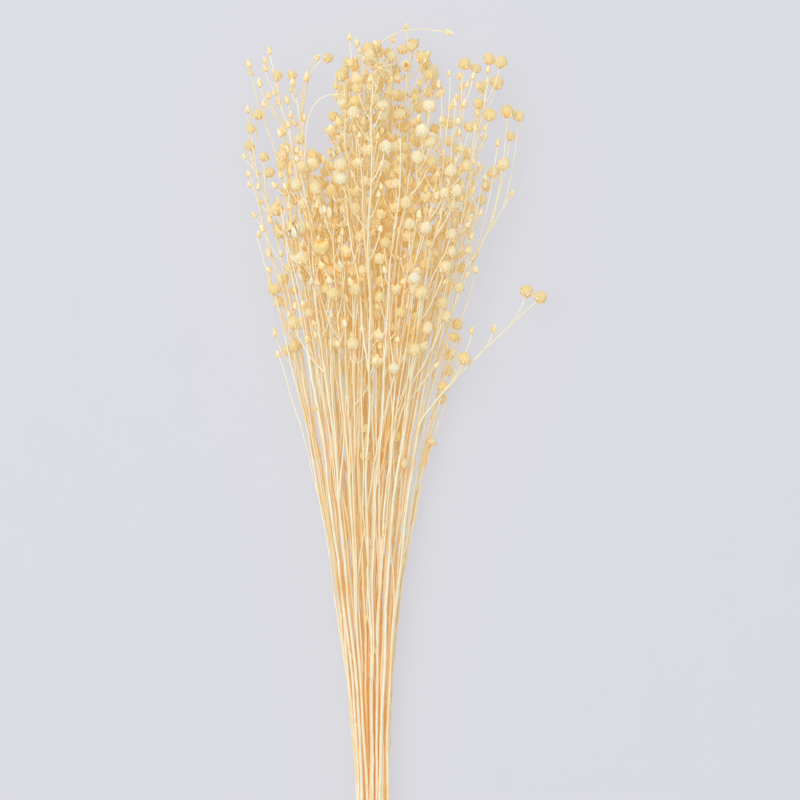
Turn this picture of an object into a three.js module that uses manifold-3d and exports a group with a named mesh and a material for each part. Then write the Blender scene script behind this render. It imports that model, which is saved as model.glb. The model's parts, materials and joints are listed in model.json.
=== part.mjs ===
// A bunch of dried flax laid down on a table: fifty cut stems held by an elastic band, each with its seed
// bolls. The band is at y = 0, the tips point along +Y and the table is z = 0, until the whole is centred at
// the end. All sizes are millimetres, and all angles radians.
import * as THREE from "three";
import { mergeVertices } from "three/addons/utils/BufferGeometryUtils.js";
import Module from "manifold-3d";

// Driving dimensions of the bunch
const STEM_COUNT = 50;
const TAIL = 85; // from the band to the longest cut end
const TAIL_UNEVEN = 16; // how much shorter the shortest one is
const STEM_PITCH = 2.6; // spacing of the stems packed in the band
const HEAD_Y = 453; // where the head is widest
const HEAD_HALF_WIDTH = 76;
const HEAD_HALF_DEPTH = 38; // less than the width, because the bunch lies down
const FLARE_X = 1.95; // how late the bunch opens sideways
const FLARE_Z = 1.4;
const HEAD_LEAN = 7; // the head's middle lies this far to the right of the band's
const WAIST_LEAN = 3; // and the middle between them this far to the left
const TAIL_SPREAD = 0.22; // the cut ends spread again by this share
const LIFT_AT_HEAD = 2; // room under the lowest stems for the bolls they lie on

// Driving dimensions of one stem
const STEM_R_THIN = 0.9; // radius at the band
const STEM_R_THICK = 1.15;
const TIP_R = 0.45;
const TAPER = 0.9; // share of the way to TIP_R that the radius runs along the stem
const TAPER_LATE = 1.6; // above 1, a stem stays thick for longer
const PEDICEL_R = 0.42;
const SWAY = 1.6; // how far a stem strays from its smooth line
const BEND_POWER = 2.2; // how late a stem bends away from the bunch
const LEAVE_POWER = 1.25; // the same for one that leaves it at a given height

// Driving dimensions of the seed bolls, by radius
const BOLL_R_SMALL = 3.5;
const BOLL_R_LARGE = 4.6;
const BOLL_FULLNESS = 1.04; // a boll's corners stand out this far, so that its flats are near its true size
const BOLL_PROFILE = [[0, -0.93], [0.84, -0.5], [0.96, 0.28], [0, 1.06]]; // how far out and up, by its radius
const BUD_R = 2.6; // an unfilled, slim boll
const SLIM_BELOW = 3;
const BUD_SLIMNESS = 0.72; // its width to its length
const BUD_SHARE = 0.2;
const BOLLS_A_STEM = 6;

// The rule that branches the head of a stem
const BRANCH_ZONE = 112; // length of stem below its tip that bears branches
const PLACE_LOW = 0.35; // a branch starts in the upper part of its own share of that zone
const REACH_SHORT = 20;
const REACH_LONG = 44;
const REACH_LEAST = 0.75; // how much the reach of single branches varies
const REACH_MOST = 1.15;
const FORK_SHARE = 0.35; // of the branches, those that fork off the one before
const FORK_SHORT = 13;
const FORK_LONG = 24;
const FORK_AT = 0.55; // how far up that branch
const SPREAD_NARROW = 0.3; // angles from the stem
const SPREAD_WIDE = 0.66;
const GOLDEN_TURN = 2.399963; // turn from one branch to the next up the stem
const TURN_STRAY = 0.9; // how far a branch strays from it
const CONTROL_UP = 0.35; // a branch leaves sideways and then turns up
const CONTROL_OUT = 0.68;
const ROOT_SLOPE = 0.53; // sideways over upward, for a branch led to a given boll
const ROOT_BELOW = 6; // such a branch starts at least this far below its boll
const TIP_FREE = 5; // and this far below its stem's tip
const GROWTH_STEP = 4; // the length over which a stem's direction is read
const SUNK = 0.62; // where a stalk ends inside its boll, as a share of the boll's radius

// The outline of the head's top: a steep crown in the middle and lower shoulders
const SHOULDER_Y = 434;
const CROWN_RISE = 62;
const CROWN_X = 11;
const CROWN_HALF_WIDTH = 33;
const CROWN_STEEPNESS = 8;
const OVER_OUTLINE = 4; // a branch's boll may stand this far above it
const LOWEST_TIP_Y = 300;
const TIP_CROWDING = 0.38; // below 1, more of the tips are near the top

// How far a stem of the head's body strays from its own place in the funnel
const BODY_TURN = 0.6;
const BODY_IN = 0.8;
const BODY_OUT = 1.08;
const TIP_ASIDE = 5;
const TIP_LIFT = 4;

// Fits and faceting
const CLEAR = 0.3; // least gap between two stems, branches or bolls
const SEAT_GAP = 0.3; // between the band and the outermost stems
const OFF_TABLE = 0.01; // keeps a boll's underside above the table
const ROUNDING = 1e-6;
const WELD = 1e-4; // corners nearer than this are one
const STEM_SIDES = 4;
const STEM_STEP = 45; // length of a stem's straight pieces
const STEP_CROWDING = 0.8; // below 1, the steps are closer together near the tip
const PEDICEL_SIDES = 3;
const PEDICEL_STEP = 17; // length of a branch's straight pieces
const BOLL_SIDES = 5; // as many as a boll has chambers
const BAND_SIDES = 16;
const FLATNESS = 0.15; // corners that change a stem's surface by less are merged away
const TRIES = 160;
const SEED = 204;

// A piece with a given place that isn't clear steps aside: a little along X and Y, and more in depth
const STEP_ASIDE = 0.55;
const STEP_FLAT = 0.5;
const STEP_DEEP = 2;

// The middle of the honeycomb in the band, a hair off a cell's, so that no two cells are equally near
const COMB_X = -0.011;
const COMB_Z = -0.007;

// The elastic band: three turns side by side
const BAND_TURNS = 3;
const TURN_WIDTH = 3.2;
const TURN_THICKNESS = 1.6;
const TURN_CREST = 1.8; // flat crest of a turn

// Stems whose tips stand out of the head. Each has its tip and its other bolls as [x, y, z, radius]; a radius
// under SLIM_BELOW is a slim bud. A boll may name where its stalk begins, as root, and the control point that
// pulls the stalk into an arch, as via. A stem may name a lower point that it passes near, and the height at
// which it leaves the funnel.
const OUTLINE_STEMS = [
  // tall narrow spray on the left
  {
    tip: [-62, 494, 46, 2.6],
    bolls: [[-65, 484, 43, 2.6], [-57, 479, 48, 3.3], [-68, 475, 49, 2.7], [-63, 468, 41, 2.6]],
  },
  // the spray beside it, which leans to the right
  {
    tip: [-49, 481, 37, 3.3],
    lower: [-51, 429, 40],
    leave: 400,
    bolls: [
      { tip: [-27, 491, 38, 3.3], via: [-44, 485, 40], root: 440 },
      { tip: [-34, 492, 33, 2.7], via: [-47, 484, 34], root: 430 },
      [-40, 479, 43, 2.9],
      [-52, 466, 33, 2.8],
      [-54, 448, 42, 2.9],
    ],
  },
  // the outer left edge
  {
    tip: [-75, 439, 25, 3.3],
    bolls: [
      { tip: [-70, 458, 27, 3.8], root: 430 },
      { tip: [-77, 463, 24, 2.5], root: 420 },
      { tip: [-74, 449, 33, 3.3], root: 410 },
      [-66, 432, 34, 3.5],
      [-63, 423, 24, 3.4],
    ],
  },
  // arch on the left, over the gap
  {
    tip: [-44, 441, 52, 3.6],
    bolls: [
      { tip: [-18, 467, 56, 3.3], via: [-45, 472, 60], root: 415 },
      [-36, 432, 47, 3.6],
      [-55, 426, 47, 3.6],
    ],
  },
  // arch over the crown, which ends out on the right
  {
    tip: [-11, 484, 58, 3.5],
    bolls: [
      { tip: [45, 503, 66, 2.6], via: [-8, 514, 70], root: 458 },
      [-14, 502, 50, 2.6],
      [2, 478, 54, 3.9],
      [4, 494, 50, 3.5],
    ],
  },
  // top of the crown
  {
    tip: [23, 497, 50, 3.7],
    bolls: [
      [20, 509, 44, 2.5], [30, 490, 57, 4.6], [34, 480, 49, 4.2],
      [20, 484, 60, 4.0], [33, 470, 40, 3.6],
    ],
  },
  // the crown's left half
  {
    tip: [9, 494, 40, 3.3],
    bolls: [[12, 503, 34, 2.6], [1, 487, 36, 3.7], [13, 483, 38, 4.1], [-4, 478, 42, 4.0]],
  },
  // the crown's left edge
  {
    tip: [-17, 483, 44, 3.3],
    bolls: [[-13, 474, 38, 3.5], [-22, 473, 49, 2.7], [-16, 459, 44, 3.7], [-24, 456, 38, 3.4]],
  },
  // right spray, inner
  {
    tip: [55, 487, 44, 4.3],
    lower: [53, 405, 44],
    leave: 380,
    bolls: [
      [62, 485, 37, 3.4], [60, 479, 49, 2.7], [53, 474, 37, 2.6],
      [55, 463, 47, 2.6], [58, 449, 43, 3.9],
    ],
  },
  // right spray, outer
  {
    tip: [70, 491, 34, 4.3],
    lower: [60, 390, 34],
    leave: 385,
    bolls: [
      [77, 488, 41, 4.2], [75, 477, 31, 4.2], [64, 464, 36, 3.6],
      [70, 456, 45, 4.5], [52, 446, 31, 2.7],
    ],
  },
  // the outer right edge, a short stem with long thin stalks
  {
    tip: [84, 410, 26, 2.5],
    lower: [58, 345, 34],
    leave: 290,
    bolls: [
      { tip: [88, 457, 30, 4.0], root: 402 },
      { tip: [81, 459, 38, 4.5], root: 390 },
      { tip: [83, 445, 23, 3.4], root: 378 },
      { tip: [79, 428, 34, 4.2], root: 366 },
      { tip: [76, 441, 27, 2.6], root: 354 },
    ],
  },
  // the lone sprig that leaves the bunch on the right
  {
    tip: [101, 347, 34, 4.4],
    leave: 268,
    bolls: [[93, 351, 27, 4.4], [73, 328, 36, 2.6], [55, 310, 39, 4.0], [60, 327, 28, 2.6]],
  },
  // right side, below the head
  {
    tip: [51, 331, 24, 3.6],
    bolls: [[49, 323, 33, 3.4], [46, 314, 24, 3.6], [62, 364, 27, 2.6], [42, 293, 29, 3.5]],
  },
  { tip: [41, 287, 21, 3.5], bolls: [[34, 259, 20, 3.4], [46, 303, 17, 3.4]] },
  // left side, below the head
  { tip: [-55, 360, 24, 4.0], bolls: [[-60, 352, 30, 4.0], [-58, 345, 20, 3.6], [-48, 352, 18, 3.4]] },
  { tip: [-53, 316, 20, 3.4], bolls: [[-60, 326, 17, 2.6], [-48, 318, 28, 3.4]] },
  // short stems that show low in the middle
  { tip: [13, 263, 33, 4.5], bolls: [[19, 266, 26, 3.5], [18, 247, 37, 3.6]] },
  { tip: [-4, 268, 36, 3.3], bolls: [[-5, 260, 31, 3.4], [-5, 252, 39, 3.4]] },
];

const STRAW = { color: 0xe9d3a3, roughness: 0.7, metalness: 0 };
const LATEX = { color: 0xc9a878, roughness: 0.6, metalness: 0 };

const wasm = await Module();
wasm.setup();

// A repeatable stream of numbers from 0 to 1
function randomStream(seed) {
  let state = seed >>> 0;
  return () => {
    state = (state + 0x6d2b79f5) >>> 0;
    let t = Math.imul(state ^ (state >>> 15), state | 1);
    t = (t + Math.imul(t ^ (t >>> 7), t | 61)) ^ t;
    return ((t ^ (t >>> 14)) >>> 0) / 4294967296;
  };
}

const lerp = THREE.MathUtils.lerp;
const random = randomStream(SEED);
const between = (low, high) => lerp(low, high, random());

// Places of the stems packed in the band: the cells of a honeycomb nearest its middle, as shares of the
// bundle's radius
function packedSlots(count) {
  const cells = [];
  const across = Math.ceil(Math.sqrt(count));
  for (let row = -across; row <= across; row++)
    for (let column = -across; column <= across; column++)
      cells.push({ x: (column + row / 2) * STEM_PITCH, z: row * Math.sqrt(0.75) * STEM_PITCH });
  const nearest = (cell) => Math.hypot(cell.x - COMB_X, cell.z - COMB_Z);
  cells.sort((a, b) => nearest(a) - nearest(b));
  const kept = cells.slice(0, count);
  const radius = Math.max(...kept.map((cell) => Math.hypot(cell.x, cell.z)));
  return { radius, slots: kept.map((cell) => ({ x: cell.x / radius, z: cell.z / radius })) };
}

const { radius: BUNDLE_R, slots } = packedSlots(STEM_COUNT);
const BAND_INNER_R = (BUNDLE_R + STEM_R_THICK + SEAT_GAP) / Math.cos(Math.PI / BAND_SIDES);
const BAND_AXIS_Z = (BAND_INNER_R + TURN_THICKNESS) * Math.cos(Math.PI / BAND_SIDES);

// The bunch as a funnel: its half width, half depth and middle at a distance y from the band
const headShare = (y) => Math.max(y, 0) / HEAD_Y;
const tailSpread = (y) => 1 + TAIL_SPREAD * (Math.max(-y, 0) / TAIL);
const halfWidth = (y) => lerp(BUNDLE_R, HEAD_HALF_WIDTH, headShare(y) ** FLARE_X) * tailSpread(y);
const halfDepth = (y) => lerp(BUNDLE_R, HEAD_HALF_DEPTH, headShare(y) ** FLARE_Z) * tailSpread(y);
const midX = (y) => HEAD_LEAN * headShare(y) ** 2 - WAIST_LEAN * Math.sin(Math.PI * headShare(y)) ** 2;
const midZ = (y) => BAND_AXIS_Z + halfDepth(y) - BUNDLE_R + LIFT_AT_HEAD * headShare(y);
const inFunnel = (slot, y) => [midX(y) + slot.x * halfWidth(y), y, midZ(y) + slot.z * halfDepth(y)];

// A point on a stem's line: its own place in the funnel, bent more and more towards its tip
function stemPoint(stem, y) {
  const share = Math.max(y, 0) / stem.topY;
  const late = stem.leave ? LEAVE_POWER : BEND_POWER;
  const bend = (Math.max(y - stem.leave, 0) / (stem.topY - stem.leave)) ** late;
  const sway = SWAY * share * Math.sin(Math.PI * (2 * share + stem.phase));
  const [x, , z] = inFunnel(stem.slot, y);
  return new THREE.Vector3(x + stem.bendX * bend + sway * (1 - share), y, z + stem.bendZ * bend);
}

// A stem through its slot in the band and up to a tip, with the line and radii that its rod is built on
function makeStem(slot, tip, leave = 0) {
  const [x, y, z, tipR] = tip;
  const [fx, , fz] = inFunnel(slot, y);
  const stem = { slot, topY: y, leave, bendX: x - fx, bendZ: z - fz, branches: [] };
  stem.phase = between(0, 2);
  stem.radius = between(STEM_R_THIN, STEM_R_THICK);
  stem.cutY = -TAIL + between(0, TAIL_UNEVEN);
  const heights = [stem.cutY, 0, ...steps(0, leave || y), ...(leave ? steps(leave, y) : [])];
  stem.line = heights.map((height) => stemPoint(stem, height));
  stem.radii = heights.map((height) => stemRadius(stem, height));
  stem.boll = bollAt(stem.line.at(-1), stem.line.at(-1).clone().sub(stem.line.at(-2)), tipR);
  return stem;
}

// Heights from one to another, closer together near the second
function steps(from, to) {
  const count = Math.max(3, Math.round((to - from) / STEM_STEP));
  return Array.from({ length: count }, (_, i) => lerp(from, to, ((i + 1) / count) ** STEP_CROWDING));
}

// The point at height y on a stem's own chain of straight pieces
function onStem(stem, y) {
  const i = Math.max(1, stem.line.findIndex((point) => point.y >= y));
  const [low, high] = [stem.line[i - 1], stem.line[i]];
  return low.clone().lerp(high, (y - low.y) / (high.y - low.y));
}

const stemRadius = (stem, y) => lerp(stem.radius, TIP_R, TAPER * (Math.max(y, 0) / stem.topY) ** TAPER_LATE);
const bollAt = (centre, direction, radius) => ({ centre, direction: direction.clone().normalize(), radius });

// Everything placed so far, as straight rods with a radius; a boll is a rod of no length
const rods = [];

function addRods(stem, line, radii, boll) {
  for (let i = 1; i < line.length; i++)
    rods.push({ from: line[i - 1], to: line[i], radius: Math.max(radii[i - 1], radii[i]), stem });
  rods.push({ from: boll.centre, to: boll.centre, radius: boll.radius, stem });
}

// Shortest distance between two straight rods' middles
function distance(a, b) {
  const u = a.to.clone().sub(a.from);
  const v = b.to.clone().sub(b.from);
  const w = a.from.clone().sub(b.from);
  const uu = u.dot(u);
  const vv = v.dot(v);
  const uv = u.dot(v);
  const uw = u.dot(w);
  const vw = v.dot(w);
  const clamp = (value) => Math.min(1, Math.max(0, value));
  const spread = uu * vv - uv * uv;
  let s = spread > ROUNDING ? clamp((uv * vw - vv * uw) / spread) : 0;
  const t = vv > ROUNDING ? clamp((uv * s + vw) / vv) : 0;
  s = uu > ROUNDING ? clamp((uv * t - uw) / uu) : 0;
  return w.addScaledVector(u, s).addScaledVector(v, -t).length();
}

// Whether a line with a boll on its end stays clear of what is placed, and of the table. The stretch that
// grows out of its own stem isn't tested against that stem.
function isClear(stem, line, radii, boll, isBranch) {
  if (boll.centre.z < boll.radius - ROUNDING) return false;
  const parts = [{ from: boll.centre, to: boll.centre, radius: boll.radius, root: false }];
  for (let i = line.length - 1; i > 0; i--) {
    const radius = Math.max(radii[i - 1], radii[i]);
    parts.push({ from: line[i - 1], to: line[i], radius, root: isBranch && i === 1 });
  }
  return parts.every((part) => {
    const low = Math.min(part.from.y, part.to.y) - part.radius - CLEAR;
    const high = Math.max(part.from.y, part.to.y) + part.radius + CLEAR;
    return rods.every((rod) => {
      if (part.root && rod.stem === stem) return true;
      if (Math.max(rod.from.y, rod.to.y) + rod.radius < low) return true;
      if (Math.min(rod.from.y, rod.to.y) - rod.radius > high) return true;
      return distance(part, rod) >= part.radius + rod.radius + CLEAR;
    });
  });
}

// The first of a rule's tries that is clear, or nothing
function firstClear(propose, test) {
  for (let attempt = 0; attempt < TRIES; attempt++) {
    const made = propose(attempt);
    if (test(made)) return made;
  }
  return null;
}

// Small steps aside for a piece that has a given place, growing with each try
function stepAside(attempt) {
  const far = STEP_ASIDE * Math.sqrt(attempt);
  const turn = GOLDEN_TURN * attempt;
  const flat = STEP_FLAT * far;
  return [flat * Math.cos(turn), flat * Math.cos(2 * turn), STEP_DEEP * far * Math.sin(turn)];
}

const moved = ([x, y, z, r], [dx, dy, dz]) => [x + dx, y + dy, Math.max(z + dz, r + OFF_TABLE), r];

// Of the free slots, the one whose own line through the funnel passes nearest to a point
function takeSlotUnder([x, y, z], free) {
  const off = (slot) => {
    const [fx, , fz] = inFunnel(slot, y);
    return Math.hypot((fx - x) / halfWidth(y), (fz - z) / halfDepth(y));
  };
  const best = free.reduce((a, b) => (off(b) < off(a) ? b : a));
  free.splice(free.indexOf(best), 1);
  return best;
}

function keepStem(stems, stem) {
  if (!stem) throw new Error(`no clear place for stem ${stems.length + 1}`);
  addRods(stem, stem.line, stem.radii, stem.boll);
  stems.push(stem);
}

const stemIsClear = (stem) => isClear(stem, stem.line, stem.radii, stem.boll, false);

// How high the head's outline is at a distance x from the middle
function crownTop(x) {
  const off = Math.abs(x - CROWN_X) / CROWN_HALF_WIDTH;
  return SHOULDER_Y + CROWN_RISE * Math.exp(-(off ** CROWN_STEEPNESS));
}

// A stem of the head's body: its slot's own place in the funnel, turned and shifted a little, up to the
// outline
function bodyStem(slot, rank, count) {
  const top = crownTop(midX(HEAD_Y) + slot.x * HEAD_HALF_WIDTH);
  const topY = lerp(LOWEST_TIP_Y, top, ((rank + random()) / count) ** TIP_CROWDING);
  const turn = between(-BODY_TURN, BODY_TURN);
  const out = between(BODY_IN, BODY_OUT);
  const turned = {
    x: out * (slot.x * Math.cos(turn) - slot.z * Math.sin(turn)),
    z: out * (slot.x * Math.sin(turn) + slot.z * Math.cos(turn)),
  };
  const [x, , z] = inFunnel(turned, topY);
  const tipR = tipRadius();
  const aside = between(-TIP_ASIDE, TIP_ASIDE);
  const lift = between(-TIP_LIFT, TIP_LIFT);
  return makeStem(slot, moved([x, topY, z, tipR], [aside, 0, lift]));
}

const tipRadius = () => (random() < BUD_SHARE ? BUD_R : between(BOLL_R_SMALL, BOLL_R_LARGE));

// A stalk from a stem to a boll, as a smooth curve with one control point
function makeBranch(root, control, end, boll) {
  const curve = new THREE.QuadraticBezierCurve3(root, control, end);
  const count = Math.max(1, Math.round((root.distanceTo(control) + control.distanceTo(end)) / PEDICEL_STEP));
  const line = curve.getPoints(count);
  const direction = end.clone().sub(control).normalize();
  const centre = end.clone().addScaledVector(direction, boll * SUNK);
  if (centre.z < boll) {
    const lift = boll + OFF_TABLE - centre.z; // the table holds the boll up
    centre.z += lift;
    line.forEach((point, i) => (point.z += (lift * i) / count));
  }
  return { line, radii: line.map(() => PEDICEL_R), boll: bollAt(centre, direction, boll) };
}

function keepBranch(stem, branch) {
  if (!branch) return;
  stem.branches.push(branch);
  addRods(stem, branch.line, branch.radii, branch.boll);
}

const branchIsClear = (stem) => (branch) => isClear(stem, branch.line, branch.radii, branch.boll, true);

// A branch led to a boll of given place
function growTo(stem, given, attempt) {
  const [x, y, z, r] = moved(given.tip ?? given, stepAside(attempt));
  const centre = new THREE.Vector3(x, y, z);
  const beside = onStem(stem, Math.min(y, stem.topY));
  const sideways = Math.hypot(x - beside.x, z - beside.z);
  const rootY = given.root ?? Math.min(y - sideways / ROOT_SLOPE - ROOT_BELOW, stem.topY - TIP_FREE);
  const root = onStem(stem, rootY);
  const usual = [lerp(root.x, x, CONTROL_OUT), lerp(root.y, y, CONTROL_UP), lerp(root.z, z, CONTROL_OUT)];
  const control = new THREE.Vector3(...(given.via ?? usual));
  const direction = centre.clone().sub(control).normalize();
  const end = centre.clone().addScaledVector(direction, -r * SUNK);
  return makeBranch(root, control, end, r);
}

// Where a branch may start, the way its host grows there, and how long the branch is: longer the lower it is
function rootOnStem(stem, down) {
  const root = onStem(stem, stem.topY - down);
  const along = onStem(stem, stem.topY - down + GROWTH_STEP).sub(root).normalize();
  const reach = lerp(REACH_SHORT, REACH_LONG, down / BRANCH_ZONE) * between(REACH_LEAST, REACH_MOST);
  return { root, along, reach };
}

// The same for a fork off a branch
function rootOnBranch({ line }) {
  const at = FORK_AT * (line.length - 1);
  const [low, high] = [line[Math.floor(at)], line[Math.floor(at) + 1]];
  const along = high.clone().sub(low);
  const root = low.clone().addScaledVector(along, at % 1);
  return { root, along: along.normalize(), reach: between(FORK_SHORT, FORK_LONG) };
}

// A branch that the rule draws, one turn further round the stem
function growByRule(stem, place, count) {
  const down = BRANCH_ZONE * ((place + between(PLACE_LOW, 1)) / count);
  const isFork = random() < FORK_SHARE && stem.branches.length > 0;
  const { root, along, reach } = isFork ? rootOnBranch(stem.branches.at(-1)) : rootOnStem(stem, down);
  const spread = between(SPREAD_NARROW, SPREAD_WIDE);
  const turn = stem.phase * Math.PI + GOLDEN_TURN * place + between(-TURN_STRAY, TURN_STRAY);
  const aside = new THREE.Vector3(Math.cos(turn), 0, Math.sin(turn));
  aside.addScaledVector(along, -aside.dot(along)).normalize();
  const up = reach * Math.cos(spread);
  const out = reach * Math.sin(spread);
  const control = root.clone().addScaledVector(along, up * CONTROL_UP);
  control.addScaledVector(aside, out * CONTROL_OUT);
  const end = root.clone().addScaledVector(along, up).addScaledVector(aside, out);
  return makeBranch(root, control, end, tipRadius());
}

const underOutline = ({ boll }) => boll.centre.y < crownTop(boll.centre.x) + OVER_OUTLINE;

// The stems of the outline come first, with their bolls, and the head's body fills the room that they leave
function plantOutline(stems, free) {
  for (const outline of OUTLINE_STEMS) {
    const slot = takeSlotUnder(outline.lower ?? outline.tip, free);
    const grow = (attempt) => makeStem(slot, moved(outline.tip, stepAside(attempt)), outline.leave);
    keepStem(stems, firstClear(grow, stemIsClear));
  }
  OUTLINE_STEMS.forEach(({ bolls }, i) => {
    for (const given of bolls) {
      const grow = (attempt) => growTo(stems[i], given, attempt);
      keepBranch(stems[i], firstClear(grow, branchIsClear(stems[i])));
    }
  });
}

function plantBody(stems, free) {
  const order = free.map((slot) => ({ slot, draw: random() })).sort((a, b) => a.draw - b.draw);
  order.forEach(({ slot }, rank) => {
    const grow = () => bodyStem(slot, rank, order.length);
    keepStem(stems, firstClear(grow, stemIsClear));
  });
  for (const stem of stems.slice(OUTLINE_STEMS.length))
    for (let place = 0; place < BOLLS_A_STEM - 1; place++) {
      const grow = () => growByRule(stem, place, BOLLS_A_STEM - 1);
      keepBranch(stem, firstClear(grow, (branch) => underOutline(branch) && branchIsClear(stem)(branch)));
    }
}

// A closed geometry as a solid, and a solid as a geometry
function toSolid(geometry) {
  const bare = geometry.clone();
  bare.deleteAttribute("normal");
  bare.deleteAttribute("uv");
  const merged = mergeVertices(bare, WELD);
  const corners = [];
  const index = merged.index.array;
  for (let i = 0; i < index.length; i += 3) {
    const [a, b, c] = index.subarray(i, i + 3);
    if (a !== b && b !== c && c !== a) corners.push(a, b, c);
  }
  const vertProperties = merged.attributes.position.array;
  return new wasm.Manifold(new wasm.Mesh({ numProp: 3, vertProperties, triVerts: new Uint32Array(corners) }));
}

function toGeometry(solid) {
  const { vertProperties, triVerts } = solid.getMesh();
  const geometry = new THREE.BufferGeometry();
  geometry.setAttribute("position", new THREE.BufferAttribute(vertProperties, 3));
  geometry.setIndex(new THREE.BufferAttribute(triVerts, 1));
  geometry.computeVertexNormals();
  return geometry;
}

// A tapered rod: a cylinder's rings moved onto a line, each square to it
function rodAlong(line, radii, sides) {
  const last = line.length - 1;
  const geometry = new THREE.CylinderGeometry(1, 1, 1, sides, last);
  const side = new THREE.Vector3(1, 0, 0);
  const rings = line.map((point, i) => {
    const along = line[Math.min(i + 1, last)].clone().sub(line[Math.max(i - 1, 0)]).normalize();
    side.addScaledVector(along, -side.dot(along)).normalize();
    return { point, side: side.clone(), other: side.clone().cross(along), radius: radii[i] };
  });
  const position = geometry.attributes.position;
  for (let i = 0; i < position.count; i++) {
    const ring = rings[Math.round((position.getY(i) + 0.5) * last)];
    const place = ring.point.clone();
    place.addScaledVector(ring.side, position.getX(i) * ring.radius);
    place.addScaledVector(ring.other, position.getZ(i) * ring.radius);
    position.setXYZ(i, ...place);
  }
  return toSolid(geometry);
}

// A seed boll: round, a little pointed, with its beak along the stalk's direction. A bud is slimmer.
function bollSolid({ centre, direction, radius }) {
  const width = radius * (radius < SLIM_BELOW ? BUD_SLIMNESS : BOLL_FULLNESS);
  const points = BOLL_PROFILE.map(([out, up]) => new THREE.Vector2(out * width, up * radius));
  const geometry = new THREE.LatheGeometry(points, BOLL_SIDES);
  geometry.applyQuaternion(new THREE.Quaternion().setFromUnitVectors(new THREE.Vector3(0, 1, 0), direction));
  geometry.translate(...centre);
  return toSolid(geometry);
}

// One flax stem with its branches and bolls, grown together. Of the joined solid, only the outer skin is
// kept: a crack that the join seals is filled.
function stemSolid(stem) {
  const grown = [stem, ...stem.branches].flatMap((part) => {
    const sides = part === stem ? STEM_SIDES : PEDICEL_SIDES;
    return [rodAlong(part.line, part.radii, sides), bollSolid(part.boll)];
  });
  const skins = wasm.Manifold.union(grown).asOriginal().simplify(FLATNESS).decompose();
  return skins.reduce((a, b) => (b.volume() > a.volume() ? b : a));
}

// The band: turns side by side round the packed stems, each with a flat crest
function bandGeometry() {
  const width = BAND_TURNS * TURN_WIDTH;
  const shoulder = (TURN_WIDTH - TURN_CREST) / 2;
  const outer = BAND_INNER_R + TURN_THICKNESS;
  const groove = outer - TURN_THICKNESS / 3;
  const points = [new THREE.Vector2(BAND_INNER_R, -width / 2)];
  for (let turn = 0; turn < BAND_TURNS; turn++) {
    const low = -width / 2 + turn * TURN_WIDTH;
    points.push(new THREE.Vector2(groove, low));
    points.push(new THREE.Vector2(outer, low + shoulder));
    points.push(new THREE.Vector2(outer, low + TURN_WIDTH - shoulder));
  }
  points.push(new THREE.Vector2(groove, width / 2));
  points.push(new THREE.Vector2(BAND_INNER_R, width / 2));
  points.push(points[0].clone());
  return toGeometry(toSolid(new THREE.LatheGeometry(points, BAND_SIDES, Math.PI / BAND_SIDES)));
}

const stems = [];
const free = [...slots];
plantOutline(stems, free);
plantBody(stems, free);

const bunch = new THREE.Group();
const straw = new THREE.MeshStandardMaterial(STRAW);
stems.forEach((stem, i) => {
  const mesh = new THREE.Mesh(toGeometry(stemSolid(stem)), straw);
  mesh.name = `flax_stem_${String(i + 1).padStart(2, "0")}`;
  bunch.add(mesh);
});

const band = new THREE.Mesh(bandGeometry(), new THREE.MeshStandardMaterial(LATEX));
band.name = "elastic_band";
band.position.z = BAND_AXIS_Z;
bunch.add(band);

// The origin goes to the middle of the footprint, on the table
const box = new THREE.Box3().setFromObject(bunch);
const middle = box.getCenter(new THREE.Vector3());
bunch.position.set(-middle.x, -middle.y, -box.min.z);

export default bunch;
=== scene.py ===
# %% [markdown]
# # A bunch of dried flax
# Fifty cut flax stems are held by an elastic band and laid down on a pale table, with the camera straight
# above. The solids of the part give every stem its place. Here each one gets the looks of the real plant:
# thin round stalks, ribbed papery seed bolls, slim buds, capsules that have opened or burst, leaf scraps and
# loose fibres.

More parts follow.
